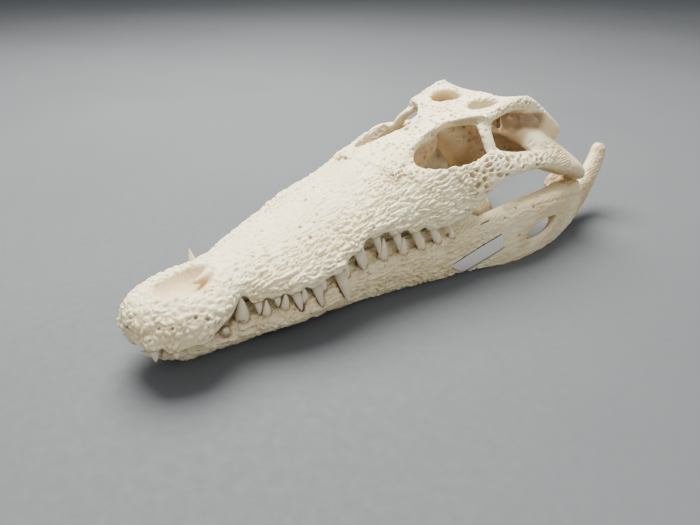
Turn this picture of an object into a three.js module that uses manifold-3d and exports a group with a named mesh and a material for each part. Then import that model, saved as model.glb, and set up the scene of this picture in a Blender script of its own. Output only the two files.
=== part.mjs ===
// Skull of a young crocodile with its lower jaw, lying closed on a level surface.
// Row frame: snout towards -Y, the animal's left towards +X, up +Z, sizes in millimetres.
// Every station below is in hundredths of the skull's length, measured back from the snout tip
// and up from the surface that the jaw rests on, and is scaled once, by UNIT.
import * as THREE from 'three';
import { mergeVertices } from 'three/addons/utils/BufferGeometryUtils.js';
import Module from 'manifold-3d';

const wasm = await Module();
wasm.setup();

// ---------------------------------------------------------------- driving dimensions
const SKULL_LENGTH = 240; // snout tip to the rear edge of the skull table
const UNIT = SKULL_LENGTH / 100;
const SEAM = 0.3 / UNIT; // gap between neighbouring bones
const TOOTH_CLEARANCE = 0.45; // room around a tooth where the other jaw closes on it
const RIM_HEIGHT = 1.0; // straight part of the wall above the tooth row
const LIP = 1.1; // width of the thin lip outside the tooth row
const LEDGE_RISE = 1; // ledge that the upper teeth stand in, above the lip
const RIM_WIDTH = 3.6; // lip and ledge together
const PALATE_VAULT = 1.7; // palate above the lip
const REACH = 200; // longer than the skull, for cutters and cells

// smooth curve through [station, value] knots, level beyond both ends
function profile(...knots) {
  const slope = knots.map((knot, i) => {
    const before = knots[Math.max(i - 1, 0)];
    const after = knots[Math.min(i + 1, knots.length - 1)];
    return (after[1] - before[1]) / (after[0] - before[0]);
  });
  return (station) => {
    const found = knots.findIndex((knot) => station < knot[0]);
    if (found === 0) return knots[0][1];
    if (found < 0) return knots[knots.length - 1][1];
    const i = found - 1;
    const span = knots[found][0] - knots[i][0];
    const t = (station - knots[i][0]) / span;
    const hermite = (2 * t ** 3 - 3 * t ** 2 + 1) * knots[i][1]
      + (t ** 3 - 2 * t ** 2 + t) * span * slope[i]
      + (3 * t ** 2 - 2 * t ** 3) * knots[found][1]
      + (t ** 3 - t ** 2) * span * slope[found];
    return hermite;
  };
}

// upper jaw: outline from above, profile from the side, and the waved line of its tooth row
const snoutHalfWidth = profile([0, 2.4], [0.8, 4.6], [2, 6.6], [4, 8.2], [7, 9.5], [10, 9.9], [14, 9.2],
  [18, 7.7], [21, 9.2], [27, 12.2], [34, 14], [40, 13.9], [46, 14], [54, 15.6], [62, 17.6], [71, 18.9]);
const snoutTop = profile([0, 11.6], [0.8, 12.8], [2, 13.9], [4, 14.7], [7, 15.1], [12, 15.1], [17, 15.8],
  [24, 16.4], [35, 18.6], [45, 21.7], [58, 25.8], [64, 27.1], [71, 28]);
const upperMargin = profile([0, 9], [2, 8.3], [5, 7.6], [9, 8.3], [13, 9.4], [16, 10.3], [18, 11.8],
  [20, 10.6], [25, 11], [30, 11.4], [35, 12.3], [39, 14], [43, 16], [46, 16.4], [50, 15.8],
  [56, 14.9], [63, 14.6], [70, 15.2]);
const snoutFullness = profile([0, 2], [10, 2.4], [20, 2], [32, 1.7], [50, 1.8], [60, 1.85], [66, 1.7], [71, 1.45]);

// roof of the skull: the bar between the orbits, then the flat table behind them
const roofHalfWidth = profile([57, 9], [62, 6.6], [66, 5], [71, 3.9], [76, 3.4], [79, 4.6], [81, 8.2],
  [83.5, 11.2], [88, 11.8], [94, 12.5], [99, 13]);
const roofTop = profile([57, 25.4], [64, 27], [70, 28.2], [76, 29.3], [80, 30.7], [84, 31.9], [92, 32.8],
  [99, 33.2]);
const roofEdgeRise = profile([57, -0.6], [66, 0.2], [76, 0.5], [82, 0.3], [88, 0.6], [95, 1.2], [99, 0.9]);
const roofThickness = profile([57, 4], [70, 2.2], [78, 2.2], [84, 3.1], [99, 4.1]);
const roofLip = profile([57, 3], [66, 1.2], [79, 1], [84, 2], [90, 2.6], [99, 3]);

// lower jaw: outer and inner outline from above, upper and lower edge from the side
const JAW_TIP = 3;
const jawOuter = profile([JAW_TIP, 1.2], [3.8, 2.6], [5.5, 4], [8, 5.3], [11, 6.3], [15, 7.4], [18, 8.4],
  [22, 10.4], [28, 12.8], [35, 13.7], [43, 14], [53, 16.1], [66, 19.1], [72, 20.6], [76, 21.9],
  [81, 23.6], [87, 25], [94, 25.6], [102, 25.3], [108, 24.6], [113, 23.8], [118, 22.8], [123, 22],
  [126, 21.4]);
const jawInner = profile([JAW_TIP, 0.07], [12, 0.07], [15, 0.3], [18, 1.5], [22, 4], [28, 7.6], [35, 9.3],
  [43, 9.6], [53, 11], [66, 13.8], [80, 17.6], [92, 19.2], [102, 18.8], [108, 16.8], [117, 17],
  [122, 17.5], [126, 18.4]);
const jawKeel = profile([JAW_TIP, 0.4], [6, 1], [12, 1.6], [20, 3.9], [31, 7.4], [43, 9.8], [55, 13.2],
  [66, 17], [72, 18.9], [76, 20.5], [81, 22.3], [87, 23.8], [98, 24.3], [106, 23.6], [112, 22.5],
  [118, 21.6], [126, 20.4]);
const jawSquareness = profile([30, 0], [75, 1]);
const jawTop = profile([JAW_TIP, 4.6], [4, 5.2], [7, 5.5], [11, 5.9], [18, 6.5], [22, 7.1], [28.6, 8.3],
  [38, 9.4], [43, 10], [50, 10.1], [58, 10], [67, 10.9], [73, 12.2], [80, 13.5], [87, 14.2], [95, 13.9],
  [104, 13.2], [109, 12], [113, 11.5], [118, 11.3], [126, 11.2]);
const jawBottom = profile([JAW_TIP, 3.6], [4, 2.4], [6, 1.2], [9.5, -0.25], [17, -0.25], [24, 0.5], [55, 0.6],
  [74, 0.3], [80, -0.25], [101, -0.25], [107, 0.3], [112, 0.9], [118, 2.2], [123, 4.4], [126, 7]);

// ---------------------------------------------------------------- shapes
const point = (x, y, z) => new THREE.Vector3(x, y, z);
const mirrored = (p) => point(-p.x, p.y, p.z);

function toSolid(geometry) {
  const bare = geometry.clone();
  bare.deleteAttribute('normal');
  bare.deleteAttribute('uv');
  const merged = mergeVertices(bare, 1e-4);
  const mesh = new wasm.Mesh({
    numProp: 3,
    vertProperties: new Float32Array(merged.attributes.position.array),
    triVerts: new Uint32Array(merged.index.array),
  });
  return new wasm.Manifold(mesh);
}

function toGeometry(solid) {
  const mesh = solid.getMesh();
  const geometry = new THREE.BufferGeometry();
  geometry.setAttribute('position', new THREE.BufferAttribute(new Float32Array(mesh.vertProperties), 3));
  geometry.setIndex(new THREE.BufferAttribute(new Uint32Array(mesh.triVerts), 1));
  geometry.computeVertexNormals();
  return geometry;
}

// closed body through a row of rings of equal length, its faces turned outwards
function loft(rings) {
  const sides = rings[0].length;
  const corners = rings.flat();
  const ends = [rings[0], rings[rings.length - 1]].map((ring) => ring
    .reduce((sum, p) => sum.add(p), point(0, 0, 0)).divideScalar(sides));
  const faces = [];
  for (let k = 0; k + 1 < rings.length; k += 1) {
    for (let i = 0; i < sides; i += 1) {
      const a = k * sides + i;
      const b = k * sides + ((i + 1) % sides);
      faces.push([a, b, a + sides], [b, b + sides, a + sides]);
    }
  }
  const first = corners.length;
  const lastRing = (rings.length - 1) * sides;
  for (let i = 0; i < sides; i += 1) {
    const next = (i + 1) % sides;
    faces.push([next, i, first], [lastRing + i, lastRing + next, first + 1]);
  }
  const all = corners.concat(ends);
  const volume = faces.reduce((sum, [a, b, c]) => sum + all[a].dot(all[b].clone().cross(all[c])), 0);
  const outward = volume > 0 ? faces : faces.map(([a, b, c]) => [a, c, b]);
  const geometry = new THREE.BufferGeometry();
  const flat = all.flatMap((p) => [p.x * UNIT, p.y * UNIT, p.z * UNIT]);
  geometry.setAttribute('position', new THREE.BufferAttribute(new Float32Array(flat), 3));
  geometry.setIndex(outward.flat());
  return toSolid(geometry);
}

// bar of bone through stations {at, wide, thick}: two half-axes of an oval section at each centre
function bar(stations, sides = 8) {
  return loft(stations.map(({ at, wide, thick }) => Array.from({ length: sides }, (_, i) => {
    const angle = (2 * Math.PI * (i + 0.5)) / sides;
    return at.clone().addScaledVector(wide, Math.cos(angle)).addScaledVector(thick, Math.sin(angle));
  })));
}

const station = (at, wide, thick) => ({ at: point(...at), wide: point(...wide), thick: point(...thick) });

function ellipsoid(centre, radii, turn = [0, 0, 0], segments = 12) {
  const geometry = new THREE.SphereGeometry(1, segments, segments / 2);
  geometry.rotateX(Math.PI / 2);
  geometry.scale(radii[0] * UNIT, radii[1] * UNIT, radii[2] * UNIT);
  geometry.applyQuaternion(new THREE.Quaternion().setFromEuler(new THREE.Euler(...turn)));
  geometry.translate(centre[0] * UNIT, centre[1] * UNIT, centre[2] * UNIT);
  return toSolid(geometry);
}

function block(low, high) {
  const size = high.map((value, i) => (value - low[i]) * UNIT);
  const geometry = new THREE.BoxGeometry(...size);
  geometry.translate(...high.map((value, i) => ((value + low[i]) / 2) * UNIT));
  return toSolid(geometry);
}

const join = (...solids) => solids.reduce((sum, solid) => sum.add(solid));

// the same solid on the other side of the middle plane
function flip(solid) {
  const geometry = toGeometry(solid);
  geometry.scale(-1, 1, 1);
  const corners = geometry.index.array;
  for (let i = 0; i < corners.length; i += 3) [corners[i], corners[i + 1]] = [corners[i + 1], corners[i]];
  return toSolid(geometry);
}

const bothSides = (solid) => solid.add(flip(solid));

// ---------------------------------------------------------------- teeth
// a cone from its root in the bone to its tip; radius is its size where it leaves the bone
function spike({ base, tip, radius }, sides) {
  const ROOT = 1.2; // length set in the bone
  const length = tip.distanceTo(base);
  const direction = tip.clone().sub(base).divideScalar(length);
  const foot = (radius * (length + ROOT)) / length;
  const geometry = new THREE.ConeGeometry(foot * UNIT, (length + ROOT) * UNIT, sides);
  geometry.applyQuaternion(new THREE.Quaternion().setFromUnitVectors(point(0, 1, 0), direction));
  const centre = tip.clone().addScaledVector(direction, -(length + ROOT) / 2).multiplyScalar(UNIT);
  geometry.translate(centre.x, centre.y, centre.z);
  return toSolid(geometry);
}

const TOOTH_SIDES = 6;
const tooth = (spec) => spike(spec, TOOTH_SIDES);

// the room that a tooth needs in the jaw that closes on it
function toothRoom({ base, tip, radius }) {
  const direction = tip.clone().sub(base).normalize();
  const beyond = tip.clone().addScaledVector(direction, 2 * TOOTH_CLEARANCE);
  return spike({ base, tip: beyond, radius: radius + 1.2 * TOOTH_CLEARANCE }, TOOTH_SIDES);
}

// upper teeth: station, length below the tooth row, radius, how far back the tip hooks, and
// how far out it leans where that is more than a little
const UPPER_TEETH = [
  [1.5, 3.2, 0.8, 0], [4, 2, 0.65, 0.1], [9, 2.3, 0.9, 0.1],
  [20.6, 3.3, 0.75, 0.2, 0.3], [23.6, 2.5, 0.65, 0.2, 0.3], [26.8, 4.8, 0.85, 1, 0.8],
  [30.8, 5.4, 0.95, 1.1, 0.8], [36.2, 7.7, 1.2, 1.5, 1.6], [40.9, 5.1, 0.95, 1.6, 1.2],
  [46, 4.5, 0.85, 0.9, 0.7], [51, 4.4, 0.9, 0.9, 0.8], [55.8, 4.6, 0.95, 0.9, 0.9],
  [60, 3.8, 0.9, 0.7, 0.7], [63.9, 2.2, 0.8, 0.7, 0.4], [67.2, 1.6, 0.7, 0.5, 0.3],
  [69.6, 1.3, 0.6, 0.3, 0.2],
];
const FANG_HEIGHT = 5.2; // the fourth lower tooth, which closes outside the upper jaw
// lower teeth: station, height above the jaw, radius, and how far the tip leans back
const LOWER_TEETH = [
  [6, 1.6, 0.5, -0.4], [13, 2.4, 0.85, -0.8], [17.9, FANG_HEIGHT, 1.35, 0.2], [21.8, 3.2, 0.8, 0.2],
  [25, 3.3, 0.85, 0.4], [28.7, 2.9, 0.85, 0], [32.8, 3.2, 0.9, 0.4], [38.5, 3.5, 0.95, 0.5],
  [43.2, 4.9, 1.05, -0.1], [48.1, 4.9, 1.05, 0.2], [53, 3.9, 0.95, -0.1], [57.6, 3.2, 0.9, -0.2],
  [61.7, 2.7, 0.85, -0.1], [65.4, 2.2, 0.75, -0.4],
];
const upperTeeth = UPPER_TEETH.map(([y, length, radius, hook, lean = 0.15]) => {
  const x = snoutHalfWidth(y) - radius - 0.25;
  const z = upperMargin(y) + 0.3;
  return { base: point(x, y, z), tip: point(x + lean, y + hook, z - length - 0.3), radius };
});
function lowerTeeth({ fangHeight, fangSplay }) {
  return LOWER_TEETH.map(([y, height, radius, lean]) => {
    const isFang = height === FANG_HEIGHT;
    const tall = isFang ? fangHeight : height;
    const splay = isFang ? fangSplay : 0.1;
    const inset = isFang ? 0.3 : 0.7;
    const x = jawOuter(y) - radius - inset;
    const z = jawTop(y) - 0.3;
    return { base: point(x, y, z), tip: point(x + splay, y + lean, z + tall + 0.3), radius };
  });
}
// on the left the first tooth points forwards out of the mouth, and a short one stands in front
// of the fourth; on the right both are lost, and the fourth stands higher and further out
const FRONT_TOOTH = { base: point(1.7, 4.6, 4.4), tip: point(2, -0.3, 6.5), radius: 0.95 };
const SHORT_TOOTH = { base: point(6.9, 14.2, 6.2), tip: point(8.5, 13, 8), radius: 0.8 };
const LEFT_TEETH = [...lowerTeeth({ fangHeight: FANG_HEIGHT, fangSplay: 0.1 }), FRONT_TOOTH, SHORT_TOOTH];
const RIGHT_TEETH = lowerTeeth({ fangHeight: FANG_HEIGHT + 3.6, fangSplay: 2.6 });

// ---------------------------------------------------------------- cranium
const ARCH_STEPS = 10;

function snoutRing(y) {
  const width = snoutHalfWidth(y);
  const margin = upperMargin(y);
  const shoulder = margin + RIM_HEIGHT;
  const power = 2 / snoutFullness(y);
  const ring = [];
  for (let i = 0; i <= ARCH_STEPS; i += 1) {
    const angle = (Math.PI * i) / ARCH_STEPS;
    const x = width * Math.sign(Math.cos(angle)) * Math.abs(Math.cos(angle)) ** power;
    ring.push(point(x, y, shoulder + (snoutTop(y) - shoulder) * Math.sin(angle) ** power));
  }
  const vault = Math.max(width - RIM_WIDTH, width * 0.4);
  const under = [[width - 0.35, 0], [width - LIP, LEDGE_RISE], [vault, PALATE_VAULT]];
  under.slice().forEach(([x, up]) => ring.push(point(-x, y, margin + up)));
  under.reverse().forEach(([x, up]) => ring.push(point(x, y, margin + up)));
  return ring;
}

// the front rim of the upper jaw hangs lowest on the right of the middle
function frontRim() {
  return bar([
    station([-5.4, 2, 8.6], [0.3, 0.7, 0], [0, 0, 1.2]),
    station([-4.2, 1.5, 8], [0.5, 0.8, 0], [0, 0, 1.7]),
    station([-2.4, 1, 7.9], [0.3, 0.9, 0], [0, 0, 1.8]),
    station([-0.6, 0.9, 8], [0, 0.9, 0], [0, 0, 1.7]),
    station([1.6, 0.9, 8.6], [0, 0.9, 0], [0, 0, 1.1]),
    station([4, 1.4, 9], [-0.4, 0.8, 0], [0, 0, 1]),
    station([5.4, 2.2, 9], [-0.3, 0.7, 0], [0, 0, 0.8]),
  ]);
}

// the palate hangs down on the inner side of the upper teeth
function palateLedge() {
  const stations = [20, 24, 29, 35, 41, 47, 53];
  return bar(stations.map((y) => {
    const low = jawTop(y) + 0.2;
    const high = upperMargin(y) + PALATE_VAULT + 0.5;
    return station([jawInner(y) - 0.9, y, (low + high) / 2], [0.6, 0, 0], [0, 0, (high - low) / 2]);
  }), 6);
}

function snout() {
  const stations = [0, 0.8, 2, 4, 7, 10, 13, 15.5, 18, 20.5, 24, 29, 34, 39, 43, 47, 52, 57, 63, 67, 71];
  return join(loft(stations.map(snoutRing)), frontRim(), bothSides(palateLedge()));
}

function roofRing(y) {
  const width = roofHalfWidth(y);
  const top = roofTop(y);
  const edge = top + roofEdgeRise(y);
  const deep = roofThickness(y);
  const lip = roofLip(y);
  const right = [[0.45, top - 0.1], [0.84, edge - 0.1], [0.97, edge - 0.35], [1, edge - 0.7 * lip],
    [0.9, edge - 0.2 - lip]];
  const left = right.map(([share, z]) => point(share * width, y, z));
  const under = point(width * 0.4, y, top - deep);
  const side = [...left, under];
  return [...side, ...side.map(mirrored).reverse(), point(0, y, top)];
}

function roof() {
  return loft([57, 60, 63.5, 67, 71, 75, 78, 80, 81.5, 83.5, 88, 92, 96, 99].map(roofRing));
}

const cheekDepth = profile([66, 2.3], [78, 1.7], [90, 1.5]);

// cheek: a slanted strap from the orbit's lower rim to the joint of the jaw
function cheek() {
  const upperEdge = [[62, 10, 25.3], [66, 11.8, 24.9], [70, 14, 24.8], [74.5, 15.2, 25.4],
    [78.5, 15.7, 26], [83, 16.2, 25.4], [89, 17.2, 24.1], [95, 17.8, 23.2], [101, 18.2, 22],
    [106, 19.6, 19.4]];
  const lowerEdge = [[62, 17.4, 14.6], [66, 18.2, 14.8], [70, 18.8, 15.6], [74.5, 19.5, 18.2],
    [78.5, 20.1, 20], [83, 20.7, 21.4], [89, 21.5, 21.5], [95, 22, 20.9], [101, 22.6, 18.6],
    [106, 23.1, 16.4]];
  return bar(upperEdge.map(([y, xUp, zUp], i) => {
    const [, xLow, zLow] = lowerEdge[i];
    const wide = point((xLow - xUp) / 2, 0, (zLow - zUp) / 2);
    const outward = point(-wide.z, 0, wide.x).normalize();
    const centre = point((xLow + xUp) / 2, y, (zLow + zUp) / 2).addScaledVector(outward, -0.7);
    return { at: centre, wide: wide.multiplyScalar(1.06), thick: outward.multiplyScalar(cheekDepth(y)) };
  }), 8);
}

function postorbitalBar() {
  return bar([
    station([9.8, 85.2, 30.4], [1.8, 0, 0], [0, 1.9, 0]),
    station([11.2, 83.8, 29], [1.4, 0, 0], [0, 1.6, 0]),
    station([12.7, 83.1, 27.4], [1.25, 0, 0], [0, 1.4, 0]),
    station([14, 83, 25.4], [1.4, 0, 0], [0, 1.6, 0]),
    station([15.8, 83.4, 24], [2, 0, 0], [0, 2.4, 0]),
  ]);
}

// thin wall between the front of the orbit and the palate
function orbitPillar() {
  return bar([
    station([2.6, 72, 27.4], [0.8, 0, 0], [0, 5.6, 0]),
    station([2.9, 72.4, 24.4], [0.6, 0, 0], [0, 5.2, 0]),
    station([2.9, 70.4, 20.8], [0.7, 0, 0], [0, 3.2, 0]),
    station([2.4, 69, 17.4], [1.2, 0, 0], [0, 2.8, 0]),
  ]);
}

// quadrate: a broad plate from under the table, narrowing to the joint
function quadrate() {
  return bar([
    station([8.8, 89.4, 29], [2, -1.2, -0.9], [0.4, 0.5, 1.3]),
    station([10.4, 94.2, 27.6], [2.2, -1.2, -1.5], [0.6, 0.5, 1.6]),
    station([15.2, 98, 24.9], [4.7, -2, -2.9], [0.8, 0.7, 1.7]),
    station([17.8, 102, 21.8], [5.2, -1.6, -3], [1, 0.9, 1.8]),
    station([20, 106.6, 18.6], [4.4, -0.8, -1.8], [0.7, 1, 1.9]),
    station([21.2, 109.8, 15.9], [3.7, -0.4, -0.6], [0.2, 1.3, 1.8]),
    station([21.2, 110.8, 14], [3.4, -0.3, 0], [0, 1.7, 0.8]),
  ], 8);
}

// plate under the quadrate, in front of its joint
function quadrateShelf() {
  return bar([
    station([15.4, 98.6, 19.4], [1.6, 0, 0.4], [0, 0.5, 1]),
    station([17.6, 103, 16.9], [1.5, 0, 0.3], [0, 0.5, 0.8]),
    station([19.4, 108.6, 14.6], [1.3, 0, 0.2], [0, 0.5, 0.8]),
  ], 6);
}

// wall across the back of the temple, from the braincase to the quadrate, and the one behind the ear
function templeWalls() {
  const temple = bar([
    station([5, 96.5, 22.3], [0.3, 1, 0], [0, 0, 5.8]),
    station([10, 98.5, 22], [0.3, 1, 0], [0, 0, 5.4]),
    station([14.6, 100.6, 20.6], [0.3, 1, 0], [0, 0, 3.6]),
    station([18, 102.6, 18.4], [0.2, 0.8, 0], [0, 0, 1.4]),
  ], 6);
  const ear = bar([
    station([8.5, 96.4, 29], [0.3, 0.8, 0], [0, 0, 2.8]),
    station([12, 97.8, 28.6], [0.3, 0.8, 0], [0, 0, 2.8]),
    station([15.4, 100, 27], [0.3, 0.8, 0], [0, 0, 2.2]),
  ], 6);
  return temple.add(ear);
}

// wing of the back of the skull and the horn of the table that runs down to it
function occipitalWing() {
  const wing = bar([
    station([2, 98.4, 26.6], [0, 0, 4.6], [0, 1.4, 0]),
    station([8, 99.6, 26.6], [0, 0, 4.2], [0, 1.3, 0]),
    station([13, 102.2, 26.2], [0, 0.2, 3.2], [0, 1.3, 0]),
    station([17.3, 105.6, 24.8], [0.2, 0.4, 1.9], [0, 1, 0]),
  ], 6);
  const horn = bar([
    station([11.4, 95, 32.6], [1.5, 0, 0.2], [0, 0.6, 1.5]),
    station([12.6, 99.2, 32.2], [1.4, 0, 0.2], [0, 0.7, 1.5]),
    station([14.4, 102, 29.9], [1.1, 0, 0.2], [0, 0.9, 1.2]),
    station([16.4, 104.6, 27], [0.9, 0, 0.2], [0, 0.9, 1.1]),
    station([17.5, 106, 25], [0.7, 0, 0.2], [0, 0.7, 0.9]),
  ], 6);
  const between = bar([
    station([11.8, 97.4, 30.2], [1.4, 1.8, 0], [0, 0.5, 2]),
    station([14.2, 100.6, 28.4], [1.2, 1.6, 0], [0, 0.6, 2]),
    station([16.9, 104.4, 25.7], [0.8, 1.1, 0], [0, 0.6, 1.3]),
  ], 6);
  return join(wing, horn, between);
}

function braincase() {
  const box = bar([
    station([0, 78, 28.8], [3.2, 0, 0], [0, 0.5, 1.4]),
    station([0, 82.5, 27.2], [4, 0, 0], [0, 0.5, 3.6]),
    station([0, 87, 25], [4.8, 0, 0], [0, 0, 6.2]),
    station([0, 93, 22.6], [6, 0, 0], [0, 0, 8.8]),
    station([0, 99, 22.4], [7.2, 0, 0], [0, 0, 9.4]),
  ], 10);
  const keel = bar([
    station([0, 84.4, 24.6], [1.7, 0, 0], [0, 2.4, 0]),
    station([0, 86.9, 20.6], [1.3, 0, 0], [0, 2.6, 0]),
    station([0, 90, 16.8], [1.6, 0, 0], [0, 2.8, 0]),
    station([0, 92, 13.6], [3, 0, 0], [0, 4, 0]),
  ]);
  const condyle = ellipsoid([0, 100.4, 21.4], [1.9, 1.9, 1.7], [0, 0, 0], 8);
  const tubera = bothSides(bar([
    station([2.2, 97.4, 18], [2.2, 0, 0], [0, 1.6, 0]),
    station([2.4, 98, 14], [2.4, 0, 0], [0, 1.5, 0]),
    station([2.6, 98.2, 11.6], [1.8, 0, 0], [0, 1, 0]),
  ]));
  const canal = ellipsoid([0, 98.6, 25], [1.9, 3.4, 1.7], [0, 0, 0], 8);
  return join(box, keel, tubera).subtract(canal).add(condyle);
}

// rear of the palate: the strip between its two windows, then the wings behind it
function palate() {
  const strip = bar([
    station([0, 50, 17.2], [4.4, 0, 0], [0, 0, 1.6]),
    station([0, 60, 17], [3.4, 0, 0], [0, 0, 1.5]),
    station([0, 72, 16.2], [2.7, 0, 0], [0, 0, 1.4]),
    station([0, 80, 14.6], [3.8, 0, 0], [0, 0, 1.3]),
    station([0, 88, 13.2], [6, 0, 0], [0, 0, 1.3]),
    station([0, 96, 12.8], [4.6, 0, 0], [0, 0, 1.4]),
  ]);
  const wing = bar([
    station([2, 87, 13.2], [0, 7, 0.2], [0, 0, 1.2]),
    station([7.6, 86.8, 10.6], [0, 5, -0.8], [0.3, 0, 0.9]),
    station([11.8, 86.4, 8.6], [0, 4.4, -1.1], [0.7, 0, 0.8]),
    station([13, 86.2, 7.6], [0, 3.6, -1], [0.7, 0, 0.6]),
  ]);
  const strut = bar([
    station([16.3, 68.5, 17.4], [0, 2.6, 0.4], [1.1, 0, 0.4]),
    station([15.9, 74, 15.4], [0, 1.8, 1.6], [1.1, 0, 0.3]),
    station([14.6, 79.6, 12.8], [0, 1.4, 1.8], [1, 0.1, 0.2]),
    station([13.2, 85, 9.8], [0, 1.6, 1.4], [0.9, 0.2, 0.2]),
  ]);
  return strip.add(bothSides(wing.add(strut)));
}

function nostrilPit() {
  return ellipsoid([0, 11, 16.8], [4.7, 6.2, 4.6], [0.06, 0, 0]);
}

function nostrilSpine() {
  return bar([
    station([0, 19.4, 14.2], [1.9, 0, 0], [0, 0, 1.3]),
    station([0.2, 16.4, 14.3], [1.2, 0, 0], [0, 0, 1]),
    station([0.3, 12.8, 13.9], [0.35, 0, 0], [0, 0, 0.4]),
  ], 6);
}

// the orbit leans outwards; below it the eye's hollow opens through the palate
function orbit() {
  const across = point(0.85, 0, -0.53);
  const outward = point(0.53, 0, 0.85);
  const SIDES = 16;
  const mouth = loft([[-9, 0.86], [-2, 1], [10, 1]].map(([depth, size]) => (
    Array.from({ length: SIDES }, (_, i) => {
      const angle = (2 * Math.PI * i) / SIDES;
      const breadth = 5.9 * Math.sin(angle) * (1 - 0.24 * Math.cos(angle));
      return point(9.3, 73.7, 26.3).addScaledVector(outward, depth)
        .addScaledVector(across, breadth * size)
        .add(point(0, -10.3 * size * Math.cos(angle), -0.9 * Math.cos(angle)));
    }))));
  const hollow = ellipsoid([7.4, 71, 19.9], [5.9, 11, 6]);
  const window = bar([
    station([8, 66.5, 5], [3.9, 0, 0], [0.6, 12.4, 0]),
    station([8, 66.5, 22], [3.9, 0, 0], [0.6, 12.4, 0]),
  ], 12);
  return join(mouth, hollow, window);
}

function tableWindow() {
  return bar([
    station([5.3, 91.3, 40], [3.6, 0, 0], [0, 5, 0]),
    station([5.5, 91.3, 31.8], [3.2, 0, 0], [0, 4.6, 0]),
    station([7.4, 91.2, 28.6], [2.5, 0, 0], [0, 3.8, 0]),
    station([8.6, 90.6, 20], [1.9, 0, 0], [0, 3.2, 0]),
  ], 10);
}

// recess of the ear between the table's edge and the quadrate
function earRecess() {
  return ellipsoid([14.2, 93.4, 29.3], [4.4, 6.2, 2], [0, 0.25, -0.25], 8)
    .add(ellipsoid([12.6, 91.6, 28.4], [2.2, 3.6, 1.8], [0, 0.3, 0], 8));
}

function cranium() {
  const bone = join(
    snout(), roof(), palate(), braincase(),
    bothSides(join(cheek(), quadrate(), quadrateShelf(), occipitalWing())),
  );
  const hollows = bothSides(join(orbit(), tableWindow(), earRecess())).add(nostrilPit());
  const reaching = ({ tip }) => tip.z > upperMargin(tip.y) + LEDGE_RISE - TOOTH_CLEARANCE
    || tip.x > snoutHalfWidth(tip.y) - LIP;
  const room = (teethOfSide) => join(...teethOfSide.filter(reaching).map(toothRoom));
  const lowerRoom = room(LEFT_TEETH).add(flip(room(RIGHT_TEETH)));
  // the first upper tooth on the right is lost
  const teeth = join(...upperTeeth.map(tooth)).add(flip(join(...upperTeeth.slice(1).map(tooth))));
  // the bars and walls that cross the hollows are added after the cuts
  const bars = bothSides(join(postorbitalBar(), orbitPillar(), templeWalls())).add(nostrilSpine());
  return bone.subtract(hollows).add(bars).subtract(lowerRoom).add(teeth);
}

// ---------------------------------------------------------------- lower jaw
function jawRing(y) {
  const outer = jawOuter(y);
  const inner = jawInner(y);
  const top = jawTop(y);
  const bottom = jawBottom(y);
  const keel = jawKeel(y);
  const tall = top - bottom;
  const wide = outer - inner;
  // the section's corners: share of the width from the inner side, or of the way from the keel
  // to the outer or inner side, with the share of the height
  const crown = [[0.1, 0.94], [0.3, 1], [0.76, 1], [0.95, 0.88], [1, 0.68]]
    .map(([across, up]) => [inner + across * wide, up]);
  const square = jawSquareness(y);
  const outerSide = [[0.66 + 0.28 * square, 0.4], [0.3 + 0.4 * square, 0.16], [0.05 + 0.2 * square, 0.02]]
    .map(([across, up]) => [keel + across * (outer - keel), up]);
  const innerSide = [[0.12, 0.02], [0.62, 0.2], [0.96, 0.5], [1, 0.76]]
    .map(([across, up]) => [keel + across * (inner - keel), up]);
  return [...crown, ...outerSide, ...innerSide].map(([x, up]) => point(x, y, bottom + up * tall));
}

function retroarticular() {
  return bar([
    station([20, 118, 8.6], [2, 0, 0], [0, 1, 3]),
    station([19.9, 122.5, 9.6], [2.1, 0, 0], [0, -1.6, 3]),
    station([19.7, 126, 11.6], [2.1, 0, 0], [0, -2.4, 2]),
    station([19.5, 128, 14.4], [2, 0, 0], [0, -2.3, 0.9]),
    station([19.3, 128.8, 16.6], [1.7, 0, 0], [0, -1.8, 0.4]),
    station([19.2, 129, 17.6], [0.9, 0, 0], [0, -0.9, 0.2]),
  ], 10);
}

// raised edge of the jaw on the inner side of its teeth, as [station, rise above the jaw's top]
function toothBed() {
  const rises = [[20, 1.2], [25, 1.4], [31, 0.9], [37, 0.8], [43, 1.3], [50, 1.4], [57, 1.5], [63, 1.5],
    [68, 0.7]];
  return bar(rises.map(([y, rise]) => (
    station([jawInner(y) + 0.9, y, jawTop(y) + rise - 1.4], [0.8, 0, 0], [0, 0, 1.4]))), 6);
}

// lip of the joint on the inner side, and the saucer that the quadrate stands in
function jawJoint() {
  const hook = bar([
    station([17.4, 105.8, 12], [0.9, 0, 0], [0, 0.8, 1.1]),
    station([17.2, 108.6, 12.2], [1.2, 0, 0], [0, 0.4, 1.3]),
    station([17.8, 111.4, 10.8], [1.3, 0, 0], [0, -0.4, 1.6]),
  ], 6);
  const saucer = ellipsoid([20.4, 110, 11.5], [3.4, 3.2, 1.5], [0, 0, 0], 8);
  return hook.add(saucer);
}

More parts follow.
